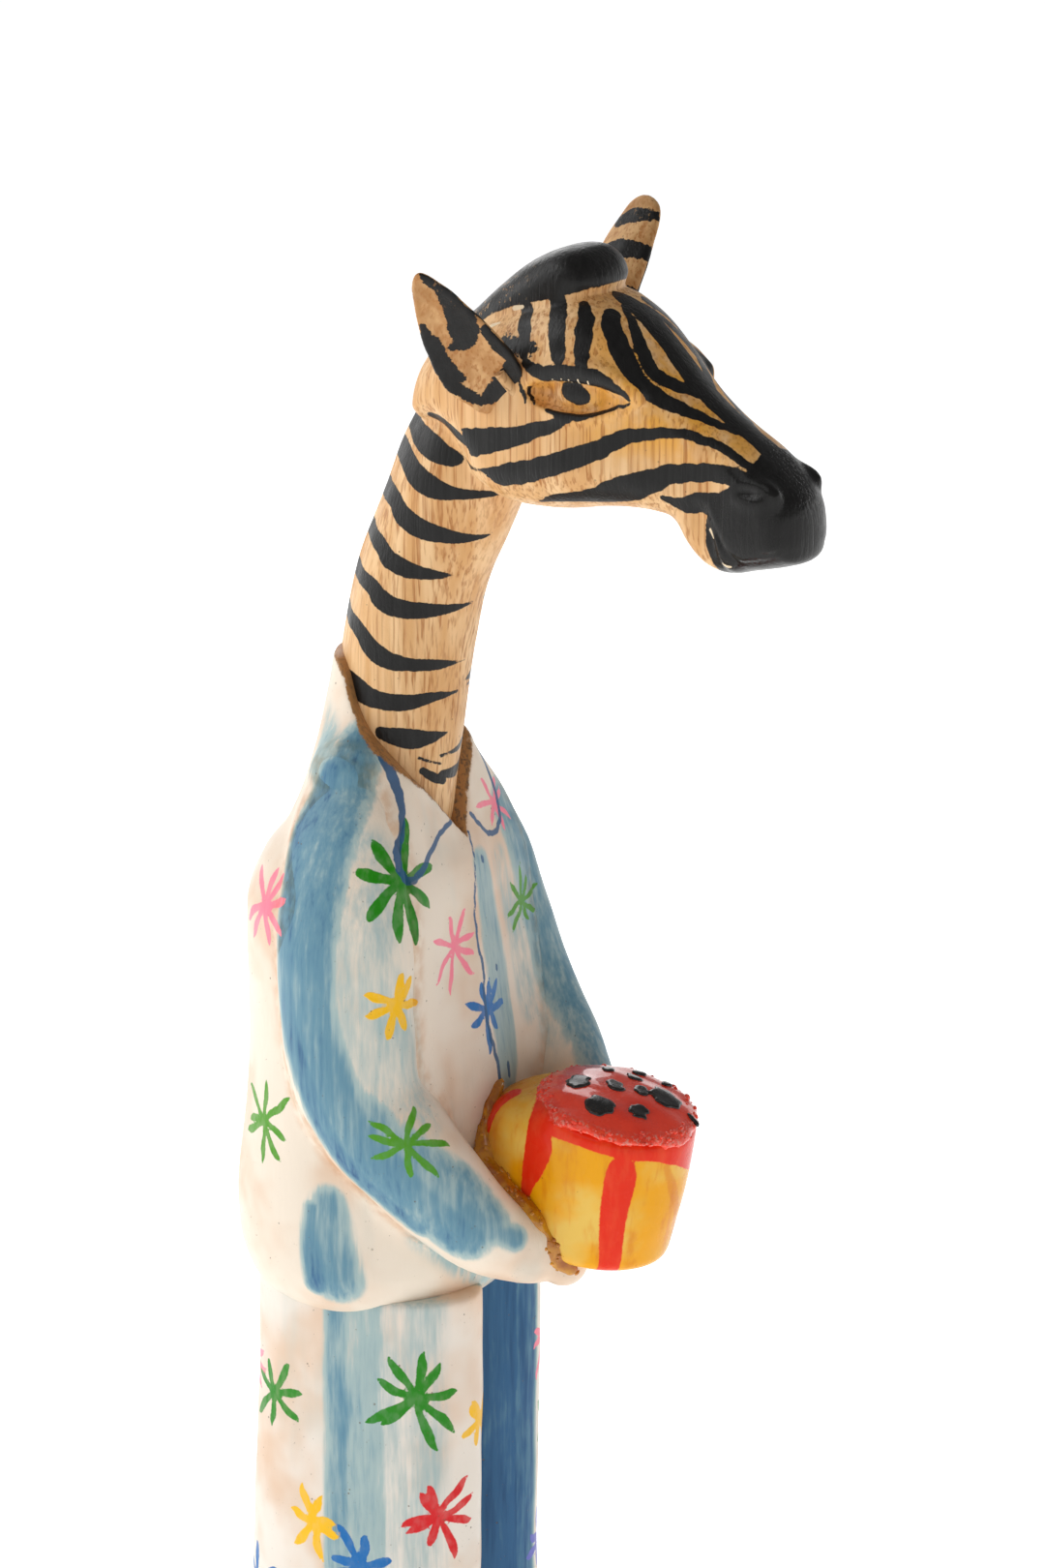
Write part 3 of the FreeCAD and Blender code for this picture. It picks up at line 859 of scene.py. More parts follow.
    def eye_details(self, shape: Array, side: Array, f: Array, z: Array) -> Array:
        """Sink the socket, set the lens in it and raise the brow and lids.

        Args:
            shape: The head so far.
            side, f, z: Places from the middle plane, forward and up.

        Returns:
            The head with its eyes.
        """
        out, forward, height = self.eye
        brow = self.ridge(side, f, z, ((out - 0.6, 43.5, 489), (out - 0.3, 50, 491),
                                       (out - 0.6, 58, 491.6),
                                       (out - 2, 66, 490), (out - 4.2, 73, 486.5)), 2.6)
        shape = soft_min(shape, brow, 2.2)
        lid = self.ridge(side, f, z, ((out - 0.6, 45, 483), (out - 0.2, 52, 478.6),
                                      (out - 0.8, 60, 478.8),
                                      (out - 2.8, 68, 481.8), (out - 4.6, 74, 484.8)), 1.9)
        shape = soft_min(shape, lid, 1.6)
        socket = ball(side, f, z, (out + 0.8, forward - 0.5, height - 0.9), self.socket)
        shape = soft_max(shape, -socket, 0.5)
        lens = ball(side, f, z, (out - 4.6, forward - 1.0, height - 0.2), self.lens)
        return soft_min(shape, lens, 0.4)

    def ridge(self, a: Array, b: Array, c: Array, rows: Sequence[Point], radius: float) -> Array:
        """A rope of one radius through a few places."""
        path = curve_through(rows, 4)
        return rope(a, b, c, np.column_stack([path, np.full(len(path), radius)]))

    def carve(self) -> tuple[Array, Array]:
        """Carve the neck, skull, forelock, eyes, nostrils and mouth.

        Returns:
            The points in millimetres, and rows of four point numbers.
        """
        block = Block((-52, -136, 344), (30, 32, 521), self.step)
        x, y, z = block.axes()
        across, forward = TURN.local(x, y)
        skull_table, lock_table, width_table = self.flat_tables(z)
        rounding = glide(self.round_at, self.rounding, forward)
        width = width_table.at(forward)
        side = np.abs(across)
        skull = self.inflate(skull_table.at(forward), across, width, rounding)
        slope = glide(self.bridge_at, self.bridge_slope, forward)
        top = np.interp(forward, *self.ridge_line())
        skull = soft_max(skull, (z - top - 1.0) * (1 - 0.35 * slope) + (side - 2.0) * slope, 2.5)
        near = (side < 30) & (forward > -12)
        face = np.where(near, skull, 50.0)
        for low, high, details in ((36.0, 82.0, self.eye_details),
                                   (80.0, 126.0, self.muzzle_details)):
            rows = slice(*self.rows_between(y, low, high))
            face[:, rows] = details(face[:, rows], side[:, rows], forward[:, rows], z)
        lock_width = glide(self.lock_at, self.lock_width, forward)
        lock = self.inflate(lock_table.at(forward), across, lock_width, self.lock_rounding)
        face = soft_min(face, lock, 0.6)
        neck = self.neck_field(x, y, z) + 0.0 * face
        whole = soft_min(face, neck, 1.0)
        whole = whole + 0.18 * ripple(x, y, z, 22, 31)
        whole = np.maximum(whole, self.neck_end - z)
        return block.skin(whole)

    def rows_between(self, y: Array, low: float, high: float) -> tuple[int, int]:
        """The range of sample rows that may hold forward distances from low to high.

        Args:
            y: The block's sample rows.
            low, high: Forward distances.

        Returns:
            The first row and the row past the last.
        """
        line = y.ravel()
        near, far = TURN.pivot_y - low + 12.0, TURN.pivot_y - high - 12.0
        return int(np.searchsorted(line, far)), int(np.searchsorted(line, near))

    def muzzle_details(self, shape: Array, side: Array, f: Array, z: Array) -> Array:
        """Cut the mouth line and set a rimmed nostril on each side.

        Args:
            shape: The head so far.
            side, f, z: Places from the middle plane, forward and up.

        Returns:
            The head with its mouth and nostrils.
        """
        shape = soft_max(shape, -self.ridge(side, f, z, self.mouth, 0.75), 0.6)
        rim = ball(side, f, z, (10.3, 106.3, 463.2), (2.5, 6.8, 4.0))
        shape = soft_min(shape, rim, 2.4)
        hole = ball(side, f, z, self.nostril, (2.2, 4.6, 1.3))
        return soft_max(shape, -hole, 1.2)


# --------------------------------------------------------------------------- ears
@dataclass
class Ear:
    """A leaf-shaped ear with a hollow face, pinned into the head."""

    side: Side
    root: Point
    tip: Point
    turn: float
    outline: tuple
    thick_at: tuple = (-4, 10, 34, 48)
    thick: tuple = (5.6, 4.6, 3.2, 2.4)
    step: float = 0.45

    def axes(self) -> tuple[Array, Array, Array, Array]:
        """The ear's root and its directions: along, across and out of the hollow.

        Returns:
            The root, and the three unit directions.
        """
        s = self.side.value
        root = np.array([s * self.root[0], self.root[1], self.root[2]])
        tip = np.array([s * self.tip[0], self.tip[1], self.tip[2]])
        along = (tip - root) / np.linalg.norm(tip - root)
        out = np.array([s, self.turn, 0.0])
        out = out - along * (out @ along)
        out = out / np.linalg.norm(out)
        return root, along, np.cross(out, along), out

    def middle(self, u: Array, v: Array) -> Array:
        """The height of the leaf's middle surface, hollow along and across."""
        return 0.026 * v**2 + 0.0016 * (u - 18.0) ** 2 - 1.0

    def carve_flat(self) -> tuple[Array, Array]:
        """Carve the leaf in its own frame.

        Returns:
            The points in millimetres, and rows of four point numbers.
        """
        block = Block((-6, -14, -5), (53, 14, 8.5), self.step)
        u, v, w = block.axes()
        edge = outline_distance(u, v, curve_through(self.outline, 5, closed=True))
        thick = glide(self.thick_at, self.thick, u)
        leaf = np.abs(w - self.middle(u, v)) - thick / 2 * (0.75 + 0.25 * np.clip(-edge / 7, 0, 1))
        leaf = soft_max(leaf, edge, 1.6) + 0.12 * ripple(u, v, w, 9, 17 + self.side.value)
        return block.skin(leaf)

    def is_hollow_side(self, local: Array) -> Array:
        """Which points lie on the hollow face."""
        return local[:, 2] > self.middle(local[:, 0], local[:, 1])

    def placed(self, local: Array) -> Array:
        """Set places in the ear's frame on the turned head."""
        root, along, across, out = self.axes()
        u, v, w = local[:, :1], local[:, 1:2], local[:, 2:3]
        return TURN.figure(root + u * along + v * across + w * out)


RIGHT_EAR = Ear(Side.RIGHT, (20.0, 34.5, 482.5), (52.2, 29.5, 518.5), 0.35, (
    (-4, -6), (2, -9.6), (10, -11.6), (20, -11), (30, -8.6), (39, -5.6), (45.5, -2.8), (48.4, 0),
    (47.2, 2.2), (41, 4.4), (29, 6.8), (16, 8.6), (6, 8.6), (-4, 5.5)))
LEFT_EAR = Ear(Side.LEFT, (19.0, 32.0, 487.0), (49.0, 33.0, 524.0), 0.1, (
    (-4, -6), (2, -8), (10, -9.6), (20, -9.6), (31, -8.6), (40, -7.2), (45.6, -4.6), (47.6, 0),
    (45.4, 4.4), (39, 6.8), (28, 8.6), (16, 9.4), (6, 8.6), (-4, 6)))


# --------------------------------------------------------------------------- cake
@dataclass
class CakeFrame:
    """The cake's own frame: upright at its base, tipped forward."""

    base: Point = (0.0, -60.0, 235.0)
    tilt: float = 11.0

    def figure(self, points: Array) -> Array:
        """Change places in the cake's frame into figure places.

        Args:
            points: Rows of x, y, z in the cake's frame.

        Returns:
            Rows of x, y, z in the figure's frame.
        """
        a = math.radians(self.tilt)
        x, y, z = points.T
        return np.column_stack([x, y * math.cos(a) - z * math.sin(a),
                                y * math.sin(a) + z * math.cos(a)]) + self.base


CAKE_FRAME = CakeFrame()


@dataclass
class Cake:
    """The round cake, its thick red icing and the chips set in it."""

    bottom: float = 21.4
    middle: float = 23.2
    top: float = 22.8
    tall: float = 42.0
    dome: float = 4.5
    heel_top: float = 42.0
    heel_back: float = 15.5
    heel_half_x: float = 21.4
    heel_half_y: float = 22.0
    icing_thick: float = 0.75
    chip_proud: float = 0.55
    step: float = 0.7
    chips: tuple = (
        (-12.2, 1, 4.3, 4.6, -59), (5.6, -11.4, 4.2, 5.2, -45), (-3.5, 11.5, 3.1, 3.8, -70),
                    (0.3, 2, 2.6, 3.5, -44),
        (3.2, -4.8, 2, 3, -44), (-7.6, -8.8, 2.8, 3.1, -46), (10, 0.2, 2.2, 2.3, -33),
                    (15.5, 1.2, 2.4, 1.5, -50),
        (9.3, 8.3, 2, 2.2, -44), (16, -7.2, 2, 1.7, -45), (5, -20.6, 0.9, 2.6, -18))

    def radius(self, z: Array) -> Array:
        """The cake's radius at a height."""
        return glide((0, self.tall * 0.55, self.tall), (self.bottom, self.middle, self.top), z)

    def carve_cake(self) -> tuple[Array, Array]:
        """Carve the cake's body.

        Returns:
            The points in millimetres, and rows of four point numbers.
        """
        block = Block((-26, -26, -3), (26, 42, self.tall + 5), self.step)
        x, y, z = block.axes()
        body = np.sqrt(x**2 + y**2) - self.radius(z)
        body = soft_max(body, z - self.tall, 3.0)
        heel = oval(x, y - self.heel_back, self.heel_half_x,
                    self.heel_half_y) + 0.05 * np.abs(z - 20.0)
        heel = soft_max(heel, z - self.heel_top + 0.25 * (y - 12.0), 9.0)
        body = soft_min(body, heel, 5.0) + 0.35 * ripple(x, y, z, 20, 41)
        body = soft_max(body, -z, 4.0)
        return block.skin(body)

    def icing_top(self, x: Array, y: Array) -> Array:
        """The height of the icing's dome."""
        share = np.clip((x**2 + y**2) / self.top**2, 0, 1.2)
        return self.tall + 1.0 + self.dome * (1 - share**1.25) + 0.3 * ripple(x, y, 0.0 * x, 9, 43)

    def carve_icing(self) -> tuple[Array, Array]:
        """Carve the domed icing with its uneven hanging lip.

        Returns:
            The points in millimetres, and rows of four point numbers.
        """
        block = Block((-27, -27, 24), (27, 27, self.tall + self.dome + 3), 0.6)
        x, y, z = block.axes()
        turn, out = np.arctan2(y, x), np.sqrt(x**2 + y**2)
        lip = self.tall - 1.0 - 0.7 * np.sin(3 * turn + 0.6) - 0.4 * np.sin(7 * turn + 2.0)
        wall = out - self.radius(z) - self.icing_thick - 0.25 * ripple(x, y, z, 6, 47)
        icing = soft_max(wall, (z - self.icing_top(x, y)) * 0.9, 3.0)
        icing = soft_max(icing, lip - z, 1.4)
        icing = icing + 0.16 * ripple(x, y, z, 3.2, 53) * ramp(out, 16, 22)
        return block.skin(icing)

    def carve_chips(self) -> tuple[Array, Array]:
        """Carve the flat irregular chips, a little proud of the icing.

        Returns:
            The points in millimetres, and rows of four point numbers.
        """
        block = Block((-25, -25, self.tall - 1), (25, 25, self.tall + self.dome + 4), 0.45)
        x, y, z = block.axes()
        whole: Array | float = FAR + 0.0 * (x + y + z)
        surface = (z - self.icing_top(x, y)) * 0.9
        for number, (cx, cy, length, width, twist) in enumerate(self.chips):
            t = math.radians(twist)
            p = (x - cx) * math.cos(t) + (y - cy) * math.sin(t)
            q = -(x - cx) * math.sin(t) + (y - cy) * math.cos(t)
            ragged = 0.22 * length * ripple(x, y, 0.0 * z, 2.7, 60 + number)
            flat = oval(p, q, length, width) + ragged
            whole = np.minimum(whole, soft_max(flat, np.abs(surface) - self.chip_proud, 0.35))
        return block.skin(whole, smoothing=1)


@dataclass
class GlueBead:
    """The squeezed-out bead of glue along the near back of the cake."""

    rows: tuple = (
        (-4, -31.5, 277, 2.4), (-9, -32.5, 271, 3.2), (-14, -34, 263.5, 3.6),
                   (-19.5, -37.5, 258.5, 3.8),
        (-23.5, -43.5, 255.5, 3.9), (-23.5, -49.5, 250, 4), (-21.5, -55, 243.5, 3.6),
                   (-19.5, -59, 237, 3),
        (-18.5, -61.5, 232.5, 2))
    step: float = 0.4

    def carve(self) -> tuple[Array, Array]:
        """Carve the bead as a rope of uneven thickness with a few blobs.

        Returns:
            The points in millimetres, and rows of four point numbers.
        """
        low = np.min([r[:3] for r in self.rows], axis=0) - 5
        high = np.max([r[:3] for r in self.rows], axis=0) + 5
        block = Block(tuple(low), tuple(high), self.step)
        x, y, z = block.axes()
        bead = rope(x, y, z, curve_through(self.rows, 5)) + 0.7 * ripple(x, y, z, 6.0, 71)
        return block.skin(bead)


# --------------------------------------------------------------------------- painting
def shade_normals(points: Array, quads: Array) -> Array:
    """A unit normal for every point of a skin of four-sided faces.

    Args:
        points, quads: The skin.

    Returns:
        Rows of unit normals.
    """
    across = points[quads[:, 2]] - points[quads[:, 0]]
    along = points[quads[:, 3]] - points[quads[:, 1]]
    faces = np.cross(across, along)
    total = np.zeros_like(points)
    for i in range(4):
        for axis in range(3):
            total[:, axis] += np.bincount(quads[:, i], faces[:, axis], len(points))
    return total / np.maximum(np.linalg.norm(total, axis=1), 1e-9)[:, None]


@dataclass
class Skin:
    """A painted surface that strokes can be laid down on."""

    points: Array
    normals: Array
    finest: float = 0.15
    tree: KDTree = field(init=False)

    def __post_init__(self) -> None:
        """Sort the surface's points so that the nearest is found quickly."""
        self.tree = KDTree(len(self.points))
        for number, point in enumerate(self.points):
            self.tree.insert(point, number)
        self.tree.balance()

    def nearest(self, place: Sequence[float]) -> int:
        """The number of the surface point nearest to a place."""
        return self.tree.find(Vector(place))[1]

    def lay(self, stroke: Stroke) -> Stroke:
        """The same stroke with its rows finely spaced and brought onto the surface.

        Args:
            stroke: A stroke near the surface.

        Returns:
            The stroke on the surface.
        """
        laid = [(*self.points[self.nearest(row[:3])],
                 max(row[3], self.finest)) for row in stroke.path()]
        return Stroke(laid, pieces=1)


class Hue(Enum):
    """The pot that a star was painted from."""

    GREEN = (0.014, 0.235, 0.002)
    PINK = (0.980, 0.235, 0.330)
    YELLOW = (0.940, 0.520, 0.003)
    BLUE = (0.008, 0.150, 0.450)
    RED = (0.700, 0.008, 0.012)
    LEAF = (0.080, 0.310, 0.010)
    VIOLET = (0.150, 0.160, 0.560)


@dataclass
class Star:
    """A loose star of brush flicks round a small knot of paint."""

    centre: Point
    radius: float
    hue: Hue
    seed: int
    flicks: int = 8
    thick: float = 0.95

    def strokes(self, skin: Skin) -> list[Stroke]:
        """Lay the star's flicks on a surface.

        Args:
            skin: The surface to lay them on.

        Returns:
            The knot and its flicks.
        """
        rng = np.random.default_rng(self.seed)
        number = skin.nearest(self.centre)
        middle, out = skin.points[number], skin.normals[number]
        side = np.cross(out, (0.0, 0.0, 1.0))
        side = side / max(np.linalg.norm(side), 1e-6)
        up = np.cross(side, out)
        turn = rng.uniform(0, 6.28)
        flicks = [Stroke([(*middle, self.thick * 1.5), (*(middle + 0.2 * up), self.thick * 1.5)],
                         1)]
        for i in range(self.flicks):
            angle = turn + 2 * math.pi * (i + rng.uniform(-0.22, 0.22)) / self.flicks
            reach = self.radius * rng.uniform(0.78, 1.34)
            bend = rng.uniform(-0.24, 0.24)
            rows = []
            for share in (0.0, 0.3, 0.62, 0.86, 1.0):
                a = angle + bend * share
                place = middle + reach * share * (math.cos(a) * side + math.sin(a) * up)
                blunt = rng.uniform(0.35, 1.0)
                width = self.thick * {0.0: 0.85, 0.3: 1.0, 0.62: 1.35, 0.86: 1.0,
                                      1.0: 0.3 * blunt}[share]
                rows.append((*skin.points[skin.nearest(place)], width))
            flicks.append(Stroke(rows, 3))
        return flicks


@dataclass
class Wash:
    """A broad thin band of blue, with its strength and the width of its soft edge."""

    rows: Sequence[Sequence[float]]
    strength: float
    feather: float = 4.0

    def mirrored(self, slip: float = 0.0) -> "Wash":
        """The same band on the other side."""
        return Wash([(-x, y, z + slip, w) for x, y, z, w in self.rows], self.strength, self.feather)

    def density(self, points: Array) -> Array:
        """How much blue the band leaves on each point."""
        gap = Stroke(self.rows).distance(points, self.feather + 1.0)
        return self.strength * (1.0 - ramp(gap, -self.feather * 0.4, self.feather))


@dataclass
class Pyjamas:
    """The pattern shared by jacket, sleeves and trousers."""

    skins: Sequence[tuple[Array, Array, Array]]
    lines: Sequence[Stroke]
    stars: Sequence[Star]
    washes: Sequence[Wash]
    laid: list = field(init=False)
    flicks: list = field(init=False)

    def __post_init__(self) -> None:
        """Lay every line and star once on all the pieces together."""
        points = np.vstack([p[shown] for p, _, shown in self.skins])
        normals = np.vstack([shade_normals(p, q)[shown] for p, q, shown in self.skins])
        skin = Skin(points, normals)
        self.laid = [skin.lay(line) for line in self.lines]
        self.flicks = [(star, star.strokes(skin)) for star in self.stars]

    def marks(self, points: Array) -> dict[str, Array]:
        """The paint marks for one piece's points.

        Args:
            points: The piece's points.

        Returns:
            Named numbers and colours, one for each point.
        """
        star = np.full(len(points), FAR)
        hue = np.ones((len(points), 3))
        for one, strokes in self.flicks:
            gap = painted(points, strokes)
            nearer = gap < star
            star = np.where(nearer, gap, star)
            hue[nearer] = one.hue.value
        wash = np.zeros(len(points))
        for band in self.washes:
            wash = np.maximum(wash, band.density(points))
        return {"line": painted(points, self.laid), "star": star, "hue": hue, "wash": wash}


COLLAR_LINES = (
    Stroke(((-22.5, -4, 379.5, 2.0), (-24, -10, 373.5, 1.6), (-26, -14, 366, 1.4),
            (-29.5, -15.5, 358.5, 1.1), (-34, -17, 354, 1.3), (-35.5, -18.5, 349.5, 1.3),
            (-34, -20.5, 346, 1.1), (-29, -21, 346.5, 1.1), (-21.5, -20.5, 349.5, 0.9),
            (-12.5, -19.5, 353, 0.8), (-5, -19, 354.5, 0.7))),
    Stroke(((6.5, -20, 353.5, 0.8), (9.5, -21, 349.5, 0.8), (13, -22, 346, 0.8),
            (18.5, -22, 345, 0.8), (24, -20, 349, 0.8), (25, -15, 360, 1.0), (23.5, -8, 374, 1.3))),
    Stroke(((2, -21.5, 349.5, 0.5), (-3, -24.5, 335, 0.5), (-4.5, -26.5, 324, 0.55),
            (-4, -28.5, 312, 0.6), (-4.5, -29.5, 299, 0.7), (-2.5, -31.5, 286.5, 0.8),
            (-2, -33, 275, 0.9))),
    Stroke(((4, -24.5, 341.4, 0.95), (4, -24.5, 340.6, 0.95))),
    Stroke(((4.5, -30, 310, 0.8), (4.4, -30, 309.2, 0.8))),
    Stroke(((4.5, -32.5, 281, 0.95), (4.4, -32.7, 278, 0.9))),
)

JACKET_STARS = (
    Star((-36, -18, 345.5), 15.5, Hue.GREEN, 3, 8, 1.35),
                Star((-15.5, -25, 322), 10.5, Hue.PINK, 4, 8, 0.75),
    Star((-44.5, -22, 314), 9.5, Hue.YELLOW, 5, 7, 1.0),
                Star((-4, -29.5, 300), 10.5, Hue.BLUE, 6, 8, 0.95),
    Star((-49, -26.5, 276), 10.5, Hue.LEAF, 7, 8, 0.8),
                Star((22, -20, 352), 9, Hue.PINK, 8, 7, 0.7),
    Star((27, -25, 322), 9, Hue.LEAF, 9, 8, 0.7),
                Star((-38, 21.5, 334.5), 13, Hue.PINK, 10, 8, 1.0),
    Star((-38, 23.5, 269.5), 12.5, Hue.LEAF, 11, 8, 0.9), Star((8, 41, 345), 12, Hue.GREEN, 12),
    Star((-10, 43, 305), 11, Hue.BLUE, 13), Star((20, 41, 285), 12, Hue.PINK, 14, 8, 0.9),
    Star((-14, 46, 252), 11, Hue.YELLOW, 15), Star((26, 40, 240), 12, Hue.LEAF, 16),
    Star((50, 2, 330), 12, Hue.YELLOW, 17), Star((44, 22, 318), 11, Hue.RED, 18, 8, 0.85),
    Star((51, -10, 296), 11, Hue.BLUE, 19), Star((44, 12, 262), 12, Hue.PINK, 20, 8, 0.9),
    Star((40, -14, 238), 9, Hue.GREEN, 21), Star((46, -32, 274), 9, Hue.LEAF, 22, 8, 0.8),
    Star((-18, -33, 240), 9, Hue.PINK, 23, 7, 0.8), Star((16, -35, 240), 9, Hue.YELLOW, 24, 7, 0.9),
    Star((2, 28, 385), 8, Hue.RED, 25, 7, 0.8),
)

SLEEVE_BAND = Wash(((-25, -2, 379.5, 5), (-38, 1, 361, 7.5), (-46, 3, 341.5, 8.5),
                    (-49.5, 4, 322, 8.5), (-51, 1, 303, 8), (-52, -6, 287, 7.5), (-50, -16, 273, 7),
                    (-47, -28, 260, 6.5), (-41, -41, 248, 5)), 0.62, 5.0)
SLEEVE_EDGE = Wash(((-31, 4, 373, 3), (-38, 9.5, 355, 4), (-44, 9.5, 336, 4), (-47, 9.5, 320.5, 4),
                    (-48.5, 7.5, 305, 4), (-50.5, 2.5, 290, 4), (-50, -6, 273, 3.5),
                    (-47.5, -16, 261.5, 3), (-45, -28, 251, 2.5)), 0.74, 3.6)
FOREARM_WASH = Wash(((-52, -12, 283, 7), (-48, -25, 270, 8), (-43, -38, 259, 8),
                     (-38, -47, 251, 4.5)), 0.48, 4.0)
JACKET_WASHES = (
    SLEEVE_BAND, SLEEVE_EDGE, FOREARM_WASH,
    Wash(((-40, -40, 255, 2), (-33, -52, 246, 2.5)), 0.62, 3.0),
    Wash(((-46, 0, 252, 3.5), (-46, 0, 243, 6), (-45, -2, 229, 6.5)), 0.52, 4.5),
    Wash(((-46, 4.5, 250, 1.5), (-46.5, 4.5, 240, 2.8), (-46, 4, 226, 3)), 0.75, 2.6),
    Wash(((-40, -8, 352, 9), (-46, -16, 312, 10), (-46, -26, 282, 8)), 0.17, 7.0),
    Wash(((-30, -28, 246, 9), (-16, -34, 232, 8), (-4, -36, 224, 7)), 0.3, 6.0),
    Wash(((32, -34, 268, 9), (34, -28, 300, 10), (30, -20, 340, 6)), 0.16, 7.0),
    Wash(((3, -24, 340, 4), (5, -28, 318, 6), (5, -30, 296, 6), (5, -32, 280, 6)), 0.34, 3.0),
    Wash(((16, -24, 338, 3.5), (21, -28, 315, 4), (22, -31, 292, 4)), 0.2, 4.0),
    Wash(((29, -18, 348, 7), (35, -26, 326, 9), (38, -33, 304, 10), (37, -44, 286, 9),
          (32, -53, 272, 8)), 0.5, 5.0),
    Wash(((-28, 10, 376, 6), (-20, 20, 390, 6), (-8, 22, 398, 5)), 0.32, 6.0),
    Wash(((8, 36, 365, 10), (14, 42, 330, 12), (12, 44, 290, 9)), 0.4, 7.0),
    Wash(((-22, 41, 300, 5), (-20, 45, 262, 6), (-18, 46, 232, 6)), 0.7, 3.0),
    SLEEVE_BAND.mirrored(2.0), SLEEVE_EDGE.mirrored(-1.0),
    Wash(((46, 6, 250, 6), (45, 2, 229, 6)), 0.7, 2.5),
    Wash(((44, 20, 300, 7), (46, 18, 262, 8)), 0.35, 5.0),
)

TROUSER_STARS = (
    Star((-33, 24, 184.5), 12, Hue.GREEN, 31, 7, 1.0),
                 Star((-34.5, -22, 193), 14.5, Hue.GREEN, 32, 9, 1.1),
    Star((-18, -34, 181), 9, Hue.YELLOW, 33, 8, 1.0),
                 Star((-38.5, 9, 148), 9, Hue.YELLOW, 34, 7, 1.1),
    Star((-31, -26.5, 155), 11.5, Hue.RED, 35, 9, 1.0),
                 Star((-39, -5.5, 138), 11, Hue.BLUE, 36, 8, 1.1),
    Star((26, -32, 188.5), 11, Hue.PINK, 37, 7, 0.9),
                 Star((25, -33, 124), 10, Hue.VIOLET, 38, 7, 1.0),
    Star((-37, -12, 96), 12, Hue.GREEN, 39, 8, 1.1), Star((-24, -33, 70), 11, Hue.PINK, 40, 8, 0.9),
    Star((-38, 14, 62), 11, Hue.RED, 41, 8, 1.0), Star((-30, 33, 120), 12, Hue.BLUE, 42, 8, 1.0),
    Star((-18, 37, 76), 10, Hue.YELLOW, 43, 8, 1.0),
                 Star((-34, -20, 40), 8, Hue.YELLOW, 44, 7, 1.0),
    Star((30, -30, 160), 11, Hue.GREEN, 45, 8, 1.0), Star((38, -8, 176), 12, Hue.BLUE, 46, 8, 1.0),
    Star((38, 12, 140), 12, Hue.PINK, 47, 8, 0.9), Star((34, -24, 92), 11, Hue.YELLOW, 48, 8, 1.0),
    Star((37, 16, 84), 12, Hue.GREEN, 49, 8, 1.1), Star((22, -34, 56), 10, Hue.RED, 50, 8, 0.9),
    Star((24, 36, 186), 12, Hue.YELLOW, 51, 8, 1.0), Star((26, 36, 110), 12, Hue.RED, 52, 8, 0.9),
    Star((-22, 36, 190), 11, Hue.PINK, 53, 8, 0.9), Star((36, 6, 40), 9, Hue.BLUE, 54, 8, 1.0),
    Star((20, 38, 44), 10, Hue.LEAF, 55, 8, 1.0),
)

TROUSER_WASHES = (
    Wash(((-39.5, 1, 222, 3), (-39.5, 1.5, 120, 3.5), (-39.5, 3, 18, 3.5)), 0.5, 3.0),
    Wash(((-38, -6, 222, 6), (-38, -6, 120, 6), (-38, -6, 18, 6)), 0.36, 4.0),
    Wash(((-33, -20, 222, 9), (-33, -20, 120, 9), (-33, -20, 18, 9)), 0.17, 5.0),
    Wash(((-10, -30, 222, 4), (-9, -30, 110, 4), (-8, -30, 18, 4)), 0.42, 4.0),
    Wash(((6, -26, 222, 8), (6, -26, 120, 8), (6, -27, 18, 8)), 1.0, 1.6),
    Wash(((15, -33, 222, 4), (15, -33, 120, 4), (15, -34, 18, 4)), 0.85, 2.5),
    Wash(((36, -14, 222, 5), (36, -14, 18, 5)), 0.3, 5.0),
    Wash(((39.5, 2, 222, 4), (39.5, 2, 18, 4)), 0.9, 2.0),
    Wash(((34, 26, 222, 7), (34, 27, 18, 7)), 0.3, 5.0),
    Wash(((-20, 37, 222, 5), (-20, 39, 18, 5)), 0.75, 3.0),
    Wash(((14, 37, 222, 4), (12, 39, 18, 4)), 0.6, 3.0),
)


